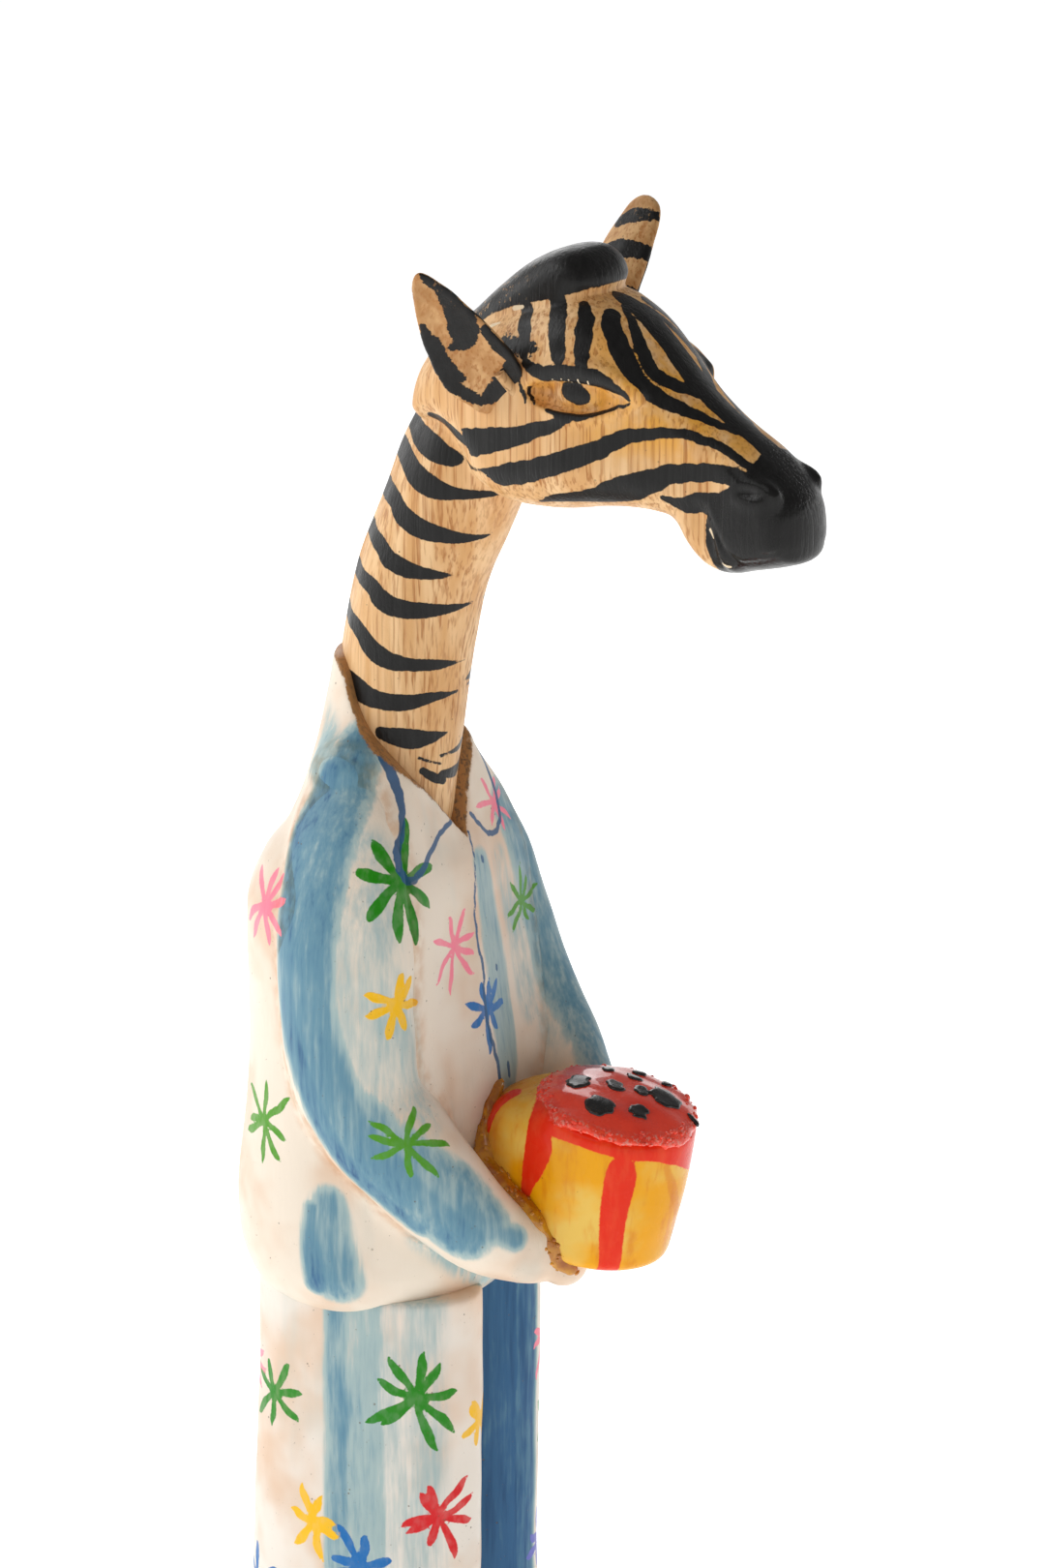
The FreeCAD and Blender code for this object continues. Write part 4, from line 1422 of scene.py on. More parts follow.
# --------------------------------------------------------------------------- stripes
CHEEK_STRIPES = (
    Stroke(((-20, 21.5, 467, 3.9), (-21.5, 30.5, 469, 3.4), (-22, 38, 471, 2.7),
            (-22, 49.5, 475.5, 1.9), (-22, 56, 478.3, 1.1))),
    Stroke(((-22.5, 50, 480, 0.8), (-21.5, 58.5, 479, 1.2), (-19, 65.5, 481, 0.9),
            (-18, 72, 483.5, 0.3))),
    Stroke(((-21, 28.5, 458.6, 2.3), (-22, 38, 461, 3.1), (-22, 45.5, 463.5, 2.9),
            (-22, 54.5, 467, 2.9), (-20.5, 63, 470.5, 2.6), (-17.5, 72, 475, 2),
            (-14.5, 81, 476.5, 1.4), (-13, 86.5, 476.5, 1.3), (-11, 92.5, 475, 1.3),
            (-10, 99, 472.5, 1.2), (-9.5, 104, 469.5, 1.2))),
    Stroke(((-17, 44, 453.6, 0.5), (-18.5, 50.5, 455.2, 2), (-17, 60.5, 456.8, 3.2),
            (-17, 70, 460, 4.2), (-14.8, 81, 465.2, 2.7), (-13, 90.5, 467.2, 2.4),
            (-12.5, 97, 467.3, 2.4), (-12.5, 103, 467, 2.4))),
    Stroke(((-14.5, 80, 458.8, 0.9), (-13.5, 85.5, 457.8, 2.2), (-13, 91, 459, 2.9),
            (-13, 97, 459, 3.5))),
    Stroke(((-9.5, 61.5, 505.5, 2.4), (-13.5, 65, 501.5, 2.9), (-16, 71, 493.5, 2.9),
            (-14.5, 76.5, 487, 2.4), (-11.5, 82.5, 483.5, 2), (-9, 87.5, 481.5, 1.6),
            (-6.5, 93, 479, 1.3), (-3, 98, 476, 1.2), (-0.5, 103.5, 472.5, 1.4))),
    Stroke(((-3.5, 61.5, 507, 0.9), (-9.5, 71, 500, 2), (-11.5, 76, 493, 2.1), (-9, 80, 489.5, 2),
            (-4, 84.5, 486.5, 1.9), (0, 88, 483.5, 1.8))),
    Stroke(((-14, 37, 504.5, 1.9), (-19.5, 40.5, 498.5, 2.1), (-21.5, 41.5, 493.5, 1.5))),
    Stroke(((-14, 47, 507, 2.3), (-19, 50.5, 501, 2.5), (-22, 52.5, 495, 2.1),
            (-22.5, 53.5, 492.6, 1))),
    Stroke(((-12, 54, 508.5, 1.2), (-15.5, 57, 504, 2.1), (-19.5, 58.5, 499, 2.3),
            (-22, 60, 492.5, 1.6))),
    Stroke(((-22.5, 42.5, 491.5, 1.2), (-22.5, 47, 489.8, 2), (-22.5, 54, 489.8, 2.4),
            (-22.5, 60, 489.8, 2.8), (-21.5, 65.5, 489, 2.4), (-20.5, 69.5, 487, 1.5),
            (-19.5, 73, 484.6, 0.4))),
    Stroke(((-21.6, 54.4, 485.6, 2.3), (-21.6, 57.4, 484.9, 2.8), (-21.6, 60, 484, 1.8))),
    Stroke(((-21, 43, 485, 0.5), (-21, 44, 482.5, 0.6), (-22, 45.5, 480.5, 0.3))),
    Stroke(((-21.5, 40.5, 487, 0.3), (-21.5, 41.5, 484, 0.6), (-21.8, 42.6, 481, 0.3))),
)

ROUGH_PATCH = Stroke(((-20.5, 31, 494.5, 1.6), (-21, 37, 495.5, 2.6), (-21, 43, 495.2, 2.2)))

MIDDLE_BAND = (
    Stroke(((0, 58, 508, 3), (1, 64, 504.5, 4.6), (1, 72, 498, 4.8), (0.5, 81, 489.5, 5.2),
            (0, 90, 482, 5), (0, 98, 476.5, 4.4), (0, 105, 472, 4.6))),
    Stroke(((0, 108, 452, 20), (0, 112, 455, 19.5)), 1),
)

LASHES = tuple(Stroke(((-21.7, f, 486.6, 0.28), (-22.6, f + lean, 488.4, 0.22)), 1)
               for f, lean in ((52.6, -1.2), (54.6, -0.9), (56.8, -0.5), (59.0, 0.0), (61.2, 0.5)))

BARE_SPOTS = (
    Stroke(((-12.6, 93, 452, 0.6), (-12.6, 94, 450.5, 0.4)), 1),
    Stroke(((-11, 97, 443.5, 0.7), (-11, 99, 443, 0.5)), 1),
    Stroke(((-15, 33, 503, 0.7), (-15.5, 36, 504, 0.5)), 1),
    Stroke(((-16, 27, 499, 0.8), (-16, 29.5, 500, 0.4)), 1),
)

NECK_WEDGES = (
    Stroke(((0, -8, 477, 2.5), (-10, -14, 475, 2.4), (-17, -23, 471.5, 2.2), (-21, -29, 469, 1.9),
            (-24, -33.5, 467, 1))),
    Stroke(((0, -5, 468, 3.2), (-8, -11, 466, 3.2), (-15.5, -19, 463, 3.6), (-17, -24.5, 461, 2.7),
            (-19.5, -31.5, 460.5, 1.6), (-25, -38.5, 460.5, 0.5))),
    Stroke(((0, 0, 460, 3.4), (-11, -9, 458.5, 3.2), (-16, -15, 454.5, 3.5), (-17.5, -21, 452, 3),
            (-17, -26.5, 451, 1.9), (-13, -33.5, 450.5, 1.1), (-7, -37.5, 450.5, 0.4))),
    Stroke(((0, 4, 448, 3.2), (-12, -6, 447, 2.9), (-15.5, -10, 443.5, 3.2), (-17, -16, 440.5, 3),
            (-16.5, -22, 439, 2.4), (-13, -27.5, 438, 1.6), (-7, -32.5, 438, 0.3))),
    Stroke(((0, 6, 436, 2.8), (-13.5, -2, 434, 2.5), (-16, -6.5, 430.5, 2.7),
            (-17, -12.5, 428.5, 2.4), (-15.5, -18.5, 427.5, 1.6), (-8, -26.5, 427, 0.3))),
    Stroke(((0, 11, 424, 2.8), (-15, 0, 422.5, 2.5), (-17, -4, 419.5, 3), (-17.5, -9.5, 417.5, 2.7),
            (-15, -17, 417, 2.2), (-10.5, -22, 417, 1.4), (-3.5, -25.5, 417.5, 0.3))),
    Stroke(((0, 14, 412, 2.8), (-14, 4.5, 410, 2.5), (-17, -1, 405.5, 3), (-17.5, -6.5, 402.5, 2.7),
            (-16, -12.5, 401.5, 1.9), (-11.5, -18, 401, 1.6), (-2, -22, 400.5, 0.3))),
    Stroke(((0, 16, 399, 3), (-7, 14, 396, 3), (-15.5, 5, 393.5, 3.5), (-18, -2.5, 391, 2.7),
            (-15.5, -11, 390.5, 2.4), (-11.5, -16.5, 391.5, 1.6), (-3, -20.5, 391.5, 0.4))),
)

THROAT_MARKS = (
    Stroke(((-17.5, -4.5, 381.5, 1.9), (-15, -10.5, 380, 3), (-11.5, -14.5, 379.5, 2.4),
            (-5, -18.5, 380, 0.3))),
    Stroke(((-11, -13.5, 370, 1.1), (-8, -15.5, 367.5, 1.4), (-4.5, -17, 365.5, 1.1))),
    Stroke(((-6, -17, 368, 1.1), (3, -17.5, 367, 1.9), (8, -16.5, 370.5, 1.6),
            (14, -11, 377, 2.6))),
    Stroke(((-6.5, -17, 373.5, 0.5), (3, -18, 374, 1.1), (8, -16.5, 377, 1.3), (15, -9, 383, 2.8))),
    Stroke(((-12.5, -13, 374, 0.4), (-6.5, -17, 371, 0.4))),
    Stroke(((-1, -20.5, 394, 0.5), (6, -20, 394.5, 1.6), (13, -14, 394, 2.6))),
)


@dataclass
class HeadPaint:
    """Black stripes, stain and lashes for the head and the neck."""

    lock_line_at: tuple = (-12, 8, 20, 25, 33, 48, 53, 57)
    lock_line: tuple = (478, 490.5, 497, 500.3, 503.6, 508.0, 509.6, 510.6)
    cheek_at: tuple = (449, 456, 458, 463, 472, 477, 479, 486)
    cheek: tuple = (50, 36, 31, 24, 20, 12, 6, -10)
    eye: Point = (21, 58, 484.5)
    muzzle: Point = (0, 110, 455)

    def face(self, local: Array, skin: Skin) -> Array:
        """The distance to black paint on the head, in the head's own frame.

        Args:
            local: Rows of across, forward and height.
            skin: The head's surface.

        Returns:
            One distance for each point.
        """
        both = [*CHEEK_STRIPES, *(stripe.mirrored(0.5) for stripe in CHEEK_STRIPES[:-2])]
        ink = painted(local, [*(skin.lay(stripe) for stripe in both), *MIDDLE_BAND])
        return np.minimum(ink, self.forelock(local))

    def forelock(self, local: Array) -> Array:
        """The distance to the forelock's black, in the head's own frame.

        Args:
            local: Rows of across, forward and height.

        Returns:
            One distance for each point.
        """
        line = glide(self.lock_line_at, self.lock_line, local[:, 1])
        lock = np.maximum((line - local[:, 2]) * 0.8, local[:, 1] - 56.2)
        return np.maximum(lock, -6.0 - local[:, 1])

    def marks(self, points: Array) -> dict[str, Array]:
        """The paint marks for the head and neck.

        Args:
            points: The carved head's points, in the figure's frame.

        Returns:
            Named numbers, one for each point.
        """
        across, forward = TURN.local(points[:, 0], points[:, 1])
        local = np.column_stack([across, forward, points[:, 2]])
        on_head = local[:, 2] > 430
        wedges = [*NECK_WEDGES, *(w.mirrored(1.5 - i % 3) for i, w in enumerate(NECK_WEDGES)),
                  *THROAT_MARKS]
        neck = painted(points, wedges)
        cheek_edge = np.interp(local[:, 2], self.cheek_at, self.cheek)
        on_neck = ramp(cheek_edge - forward, -0.2, 0.2) > 0.5
        skin = Skin(local, local)
        face = np.where(on_head, self.face(local, skin), FAR)
        ink = np.where(on_neck, neck, face)
        near_lock = glide(self.lock_line_at, self.lock_line, forward)
        crown = 1.0 - ramp(np.abs(local[:, 2] - near_lock - 4.0), 3.0, 12.0)
        nape = ramp(12.0 - forward, 0.0, 14.0)
        worn = crown * ramp(forward, -6.0, 8.0) * (1 - ramp(forward, 24.0, 42.0))
        hair = 0.55 * (1 - ramp(self.forelock(local), -1.5, 0.0)) * ramp(forward, -4.0, 6.0)
        rough = np.maximum(np.maximum(worn, nape), hair)
        patch = painted(local, (ROUGH_PATCH, ROUGH_PATCH.mirrored()))
        stain = ramp(forward, 48.0, 74.0) * ramp(local[:, 2], 463.0, 476.0)
        eye = (np.abs(local) - self.eye) / (7.0, 17.0, 6.0)
        stain = np.maximum(stain, 1.0 - ramp(np.linalg.norm(eye, axis=1), 0.7, 1.15))
        flecks = (*LASHES, *(one.mirrored() for one in LASHES), *BARE_SPOTS)
        lash = painted(local, [skin.lay(stroke) for stroke in flecks])
        gloss = 1.0 - ramp(np.linalg.norm(local - self.muzzle, axis=1), 18.0, 26.0)
        return {"ink": ink, "scuffed": patch, "rough": rough, "worn": worn, "stain": stain,
                "lash": lash, "gloss": gloss}


@dataclass
class EarPaint:
    """Black blots on the hollow of an ear and two bands over its back."""

    hollow: tuple = (
        Stroke(((47, 2, 0, 1.4), (40, 3.8, 0, 2.4), (32, 3.6, 0, 3.4), (26, 2, 0, 4.1),
                (22, -0.5, 0, 2.8), (21.5, -3.8, 0, 1))),
        Stroke(((24, 6.5, 0, 1), (17, 7.5, 0, 2.6), (11, 8.5, 0, 2))),
        Stroke(((32, -6.8, 0, 0.8), (25, -8, 0, 2.7), (17.5, -8.6, 0, 2.7), (11, -6.6, 0, 1.2))),
        Stroke(((13, 10, 0, 1.6), (7, 5.5, 0, 3), (3.5, 1, 0, 3.3), (1.5, -3.5, 0, 2.4))),
        Stroke(((19, -9.5, 0, 1), (13, -9.4, 0, 1.8), (7, -8.2, 0, 1.8), (2, -5.9, 0, 1.4))),
    )
    back: tuple = (
        Stroke(((41, -6, 0, 1.6), (40, 0, 0, 2.5), (38, 4, 0, 2.2))),
        Stroke(((30, -9, 0, 2.3), (29, 0, 0, 3), (27, 6, 0, 2.6))),
        Stroke(((17, -11, 0, 2.2), (15.5, 0, 0, 2.8), (14, 8, 0, 2.4))),
    )

    def marks(self, local: Array, inside: Array) -> dict[str, Array]:
        """The paint marks for one ear, from its places in the ear's own frame.

        Args:
            local: Rows of places in the ear's frame.
            inside: Which of them lie on the hollow.

        Returns:
            Named numbers, one for each point.
        """
        flat = local * (1.0, 1.0, 0.0)
        ink = np.where(inside, painted(flat, self.hollow), painted(flat, self.back))
        tip = ramp(local[:, 0], 30.0, 44.0)
        return {"ink": ink, "stain": 0.5 * tip, "rough": tip, "worn": 0.6 * tip,
                "scuffed": np.full(len(local), FAR),
                "lash": np.full(len(local), FAR), "gloss": np.zeros(len(local))}


@dataclass
class CakePaint:
    """Red runs and darker amber strokes down the cake's side, with painted shade towards its back
    where it meets the jacket.
    """

    runs: tuple = (
        Stroke(((0, 30, 42, 2.4), (-8, 30, 38, 3.4), (-13, 32, 31, 3.4), (-16, 33, 25, 1.5))),
        Stroke(((-6, 20, 42, 1.5), (-15, 16, 39, 3.2), (-20, 13, 34.5, 4.4), (-21, 13, 28, 3.8),
                (-22, 14, 20, 2), (-22, 14, 13, 0.8))),
        Stroke(((-17, -9.5, 36.5, 4), (-20, -12, 29.5, 4.6), (-19.5, -12, 18.5, 3.8),
                (-18, -13, 6, 3.2), (-16, -12, 0, 3.2)), 6),
        Stroke(((14, -17.5, 36, 3), (15, -17.5, 22, 3.4), (14, -17, 4, 2.6), (13, -16, 0, 2.4))),
        Stroke(((23, 4, 36, 2.4), (23, 6, 22, 3.2), (21.5, 7, 8, 1.2))),
    )
    amber: tuple = (
        Stroke(((-9.5, -20.5, 34.5, 1), (-5, -22.5, 26, 1.7), (2, -22.5, 13.5, 1.4),
                (4, -22, 3, 1))),
        Stroke(((-16, 21, 20, 2.4), (-19, 19, 10, 3), (-18, 17, 2, 2))),
    )
    rim_height: float = 37.6
    rim_dip: float = 9.0
    # where the painted shade towards the cake's back begins
    seam_shade_at: float = 31.0

    def marks(self, local: Array) -> dict[str, Array]:
        """The paint marks for the cake's body, from its places in the cake's frame.

        Args:
            local: Rows of places in the cake's frame.

        Returns:
            Named numbers, one for each point.
        """
        turn = np.arctan2(local[:, 1], local[:, 0])
        past_front = np.mod(turn + 2.7, 2 * math.pi)
        dip = self.rim_dip * ramp(past_front, 0.3, 1.5) * (1 - ramp(past_front, 1.9, 3.4))
        edge = self.rim_height - dip - 0.5 * np.sin(5 * turn + 1.0)
        collar = edge - local[:, 2] + 14.0 * ramp(local[:, 1], 16.0, 24.0)
        run = np.minimum(painted(local, self.runs), collar)
        # painted shade: darker towards the cake's back, where it meets the jacket
        seam = 1.0 - ramp(self.seam_shade_at - local[:, 1] + 0.1 * local[:, 2], 0.0, 12.0)
        return {"line": run, "amber": painted(local, self.amber), "seam": seam}


# --------------------------------------------------------------------------- shader parts
def tint(code: str) -> Colour:
    """Change a six-digit colour code into linear numbers."""
    parts = [int(code[i:i + 2], 16) / 255 for i in (0, 2, 4)]
    return tuple(p / 12.92 if p <= 0.04045 else ((p + 0.055) / 1.055) ** 2.4 for p in parts)


class Bench:
    """A short way to lay out and join shader nodes in one tree."""

    def __init__(self, tree: NodeTree) -> None:
        """Start with an existing tree."""
        self.tree = tree

    def put(self, socket: Socket, value: object) -> None:
        """Join a socket to another one, or set it to a plain value.

        Args:
            socket: The input to fill.
            value: A socket, a number or a colour.
        """
        if isinstance(value, Socket):
            self.tree.links.new(value, socket)
        elif isinstance(value, tuple) and len(value) == 3 and socket.type == "RGBA":
            socket.default_value = (*value, 1.0)
        else:
            socket.default_value = value

    def fill(self, made: Node, inputs: dict) -> None:
        """Fill a node's inputs, given by name or number."""
        for name, value in inputs.items():
            self.put(made.inputs[name], value)

    def node(self, kind: str, inputs: dict | None = None, **settings: object) -> Node:
        """Add a node, set its options and fill its inputs.

        Args:
            kind: The node's type in Blender.
            inputs: Values or sockets, by the input's name or number.
            **settings: The node's own options.

        Returns:
            The new node.
        """
        made = self.tree.nodes.new(kind)
        for name, value in settings.items():
            setattr(made, name, value)
        self.fill(made, inputs or {})
        return made

    def maths(self, operation: str, a: object, b: object, c: object = 0.0,
              clamp: bool = False) -> Socket:
        """Add a sum, a product or the like and give its result."""
        made = self.node("ShaderNodeMath", {0: a, 1: b, 2: c}, operation=operation, use_clamp=clamp)
        return made.outputs[0]

    def times(self, a: object, b: object, clamp: bool = False) -> Socket:
        """One value times another."""
        return self.maths("MULTIPLY", a, b, clamp=clamp)

    def times_plus(self, a: object, b: object, c: object, clamp: bool = False) -> Socket:
        """One value times another, with a third added."""
        return self.maths("MULTIPLY_ADD", a, b, c, clamp)

    def minus(self, a: object, b: object) -> Socket:
        """One value less another."""
        return self.maths("SUBTRACT", a, b)

    def step(self, value: object, low: object, high: object, first: object = 0.0,
             last: object = 1.0) -> Socket:
        """A smooth step that goes from `first` at `low` to `last` at `high`.

        Args:
            value: What is cut.
            low, high: Where the step starts and ends.
            first, last: What it gives there.

        Returns:
            The step's result.
        """
        made = self.node("ShaderNodeMapRange",
                         {"Value": value, "From Min": low, "From Max": high, "To Min": first,
                                                "To Max": last}, interpolation_type="SMOOTHSTEP")
        return made.outputs["Result"]

    def blend(self, share: object, under: object, over: object, way: str = "MIX") -> Socket:
        """Lay one colour over another.

        Args:
            share: How much of the upper colour shows.
            under, over: The two colours.
            way: Blender's blend type.

        Returns:
            The mixed colour.
        """
        made = self.node("ShaderNodeMix", data_type="RGBA", blend_type=way)
        self.put(made.inputs[0], share)
        self.put(made.inputs[6], under)
        self.put(made.inputs[7], over)
        return made.outputs[2]

    def noise(self, vector: object, scale: object, detail: float = 2.0,
              rough: float = 0.5) -> Socket:
        """A noise value about 0.5."""
        made = self.node("ShaderNodeTexNoise",
                         {"Vector": vector, "Scale": scale, "Detail": detail, "Roughness": rough})
        return made.outputs["Fac"]

    def stretched(self, stretch: Point = (1, 1, 1), turn: Point = (0.0, 0.0, 0.0)) -> Socket:
        """The object's own coordinates, stretched for a directional pattern."""
        where = self.node("ShaderNodeTexCoord").outputs["Object"]
        return self.node("ShaderNodeMapping",
                         {"Vector": where, "Scale": stretch, "Rotation": turn}).outputs["Vector"]

    def mark(self, name: str, colour: bool = False) -> Socket:
        """A paint mark stored on the mesh."""
        made = self.node("ShaderNodeAttribute", attribute_name=name, attribute_type="GEOMETRY")
        return made.outputs["Color" if colour else "Fac"]


def shader_group(name: str, inputs: dict[str, float], outputs: Sequence[str],
                 fill: Callable[[Bench, Node], Sequence[object]]) -> NodeTree:
    """Build a shared shader node group, once.

    Args:
        name: The group's name.
        inputs: Each input's name and its usual value.
        outputs: The names of the outputs, all plain values.
        fill: Builds the inside from the bench and the group's input node, and gives
            one socket for each output.

    Returns:
        The group's node tree.
    """
    if name in bpy.data.node_groups:
        return bpy.data.node_groups[name]
    tree = bpy.data.node_groups.new(name, "ShaderNodeTree")
    for label, usual in inputs.items():
        made = tree.interface.new_socket(name=label, in_out="INPUT", socket_type="NodeSocketFloat")
        made.default_value = usual
    for label in outputs:
        tree.interface.new_socket(name=label, in_out="OUTPUT", socket_type="NodeSocketFloat")
    bench = Bench(tree)
    entry, leave = bench.node("NodeGroupInput"), bench.node("NodeGroupOutput")
    for label, result in zip(outputs, fill(bench, entry)):
        bench.put(leave.inputs[label], result)
    return tree


def wood_grain() -> NodeTree:
    """Upright pale-wood grain: broad tone bands and fine dark dashes.

    Returns:
        The group's tree.
    """
    def fill(bench: Bench, entry: Node) -> Sequence[object]:
        """Lay out the grain."""
        wavy = bench.noise(bench.stretched((60, 60, 12)), 1.0, 2.0)
        lines = bench.noise(bench.stretched((1050, 1050, 15)), 1.0, 2.0, 0.5)
        dashes = bench.noise(bench.stretched((1800, 1800, 110)), 1.0, 1.0)
        bands = bench.noise(bench.stretched((150, 150, 5)), 1.0, 3.0, 0.6)
        dark = bench.times(bench.step(lines, 0.48, 0.62), bench.step(dashes, 0.35, 0.62, 0.5, 1.0))
        dark = bench.times(dark, bench.step(wavy, 0.32, 0.6, 0.45, 1.0))
        dark = bench.times(dark, entry.outputs["Strength"], clamp=True)
        return dark, bench.step(bands, 0.34, 0.66), bench.minus(0.5, dark)
    return shader_group("wood_grain", {"Strength": 1.0}, ("Lines", "Bands", "Height"), fill)


def brushed_edge() -> NodeTree:
    """A mask from a stroke distance, with a slightly ragged painted edge.

    Returns:
        The group's tree.
    """
    def fill(bench: Bench, entry: Node) -> Sequence[object]:
        """Shake the distance with two noises and cut it."""
        where = bench.stretched()
        coarse = bench.noise(where, 330.0, 2.0)
        fine = bench.noise(where, 1300.0, 2.0)
        shake = bench.times_plus(bench.minus(coarse, 0.5), 1.6,
                            bench.minus(fine, 0.5))
        moved = bench.times_plus(shake, entry.outputs["Ragged"], entry.outputs["Distance"])
        low = bench.times(entry.outputs["Softness"], -1.0)
        mask = bench.step(moved, low, entry.outputs["Softness"], 1.0, 0.0)
        rim = bench.times(bench.step(moved, -1.3, -0.1), mask)
        return mask, rim
    return shader_group("brushed_edge", {"Distance": 6.0, "Softness": 0.12, "Ragged": 0.5},
                        ("Mask", "Rim"), fill)


def wash_streaks() -> NodeTree:
    """Brush streaks and pools that thin paint leaves.

    Returns:
        The group's tree.
    """
    def fill(bench: Bench, entry: Node) -> Sequence[object]:
        """Break a wash up along its brush direction."""
        long_streak = bench.noise(bench.stretched((420, 420, 26)), 1.0, 3.0, 0.6)
        short_streak = bench.noise(bench.stretched((900, 900, 110), (0.25, 0.1, 0.0)), 1.0, 2.0,
                                   0.6)
        pool = bench.noise(bench.stretched((70, 70, 38)), 1.0, 3.0, 0.55)
        broken = bench.times_plus(bench.minus(long_streak, 0.5), 1.05,
                             bench.times(bench.minus(short_streak, 0.5), 0.55))
        broken = bench.times_plus(bench.minus(pool, 0.5), 1.25, broken)
        density = entry.outputs["Density"]
        share = bench.times(bench.step(density, 0.02, 0.3), entry.outputs["Unevenness"])
        return bench.times_plus(broken, share, density, clamp=True), long_streak
    return shader_group("wash_streaks", {"Density": 0.0, "Unevenness": 0.55}, ("Blue", "Streak"),
                        fill)


def speckle() -> NodeTree:
    """Small pits and dirt specks scattered thinly.

    Returns:
        The group's tree.
    """
    def fill(bench: Bench, entry: Node) -> Sequence[object]:
        """Cut small dots out of two cell patterns."""
        where = bench.stretched()
        dots = bench.node("ShaderNodeTexVoronoi",
                          {"Vector": where, "Scale": entry.outputs["Scale"]})
        size = bench.times(bench.noise(where, 260.0, 1.0), entry.outputs["Size"])
        pick = bench.step(bench.noise(where, 190.0, 2.0), 0.5, 0.62)
        spot = bench.step(dots.outputs["Distance"], size, bench.times(size, 0.5), 0.0, 1.0)
        return (bench.times(spot, pick),)
    return shader_group("speckle", {"Scale": 420.0, "Size": 0.34}, ("Spots",), fill)


def hand_relief() -> NodeTree:
    """The low relief of hand-sanded, brushed-over wood.

    Returns:
        The group's tree.
    """
    def fill(bench: Bench, entry: Node) -> Sequence[object]:
        """Add knife flats, brush ridges and pores."""
        flats = bench.noise(bench.stretched(), 95.0, 2.0)
        ridges = bench.noise(bench.stretched((900, 900, 120)), 1.0, 3.0, 0.6)
        pores = bench.noise(bench.stretched((1, 1, 0.45)), entry.outputs["Pore scale"], 3.0, 0.6)
        total = bench.times_plus(ridges, entry.outputs["Ridges"], bench.times(flats, 0.8))
        return (bench.times_plus(pores, entry.outputs["Pores"], total),)
    return shader_group("hand_relief", {"Ridges": 0.35, "Pores": 0.3, "Pore scale": 900.0},
                        ("Height",), fill)


def join(bench: Bench, tree: NodeTree, **inputs: object) -> Node:
    """Place a shared group with its own values.

    Args:
        bench: The material's bench.
        tree: The shared group.
        **inputs: The group's own values, by name.

    Returns:
        The group's node.
    """
    made = bench.node("ShaderNodeGroup", node_tree=tree)
    for name, value in inputs.items():
        bench.put(made.inputs[name.replace("_", " ").capitalize()], value)
    return made


def blank_material(name: str) -> tuple[Material, Bench, Node]:
    """A material with its bench and its empty main shader.

    Args:
        name: The material's name.

    Returns:
        The material, its bench and its Principled shader.
    """
    made = bpy.data.materials.new(name)
    made.use_nodes = True
    return made, Bench(made.node_tree), made.node_tree.nodes["Principled BSDF"]


@dataclass(frozen=True)
class Shine:
    """How a finish shines: specular level, clear coat, and bump with its depth in millimetres."""

    specular: float
    coat: float
    coat_rough: float
    bump: float
    depth: float

    def complete(self, bench: Bench, shader: Node, colour: Socket, rough: Socket,
                 height: Socket) -> None:
        """Join a finish to its main shader.

        Args:
            bench: The material's bench.
            shader: Its Principled shader.
            colour: The surface colour.
            rough: The roughness over the surface.
            height: The relief over the surface.
        """
        bump = bench.node("ShaderNodeBump", {"Height": height, "Strength": self.bump,
                                             "Distance": self.depth * MM})
        bench.fill(shader, {"Base Color": colour, "Roughness": rough,
                            "Normal": bump.outputs["Normal"],
                            "Specular IOR Level": self.specular, "Coat Weight": self.coat,
                            "Coat Roughness": self.coat_rough})


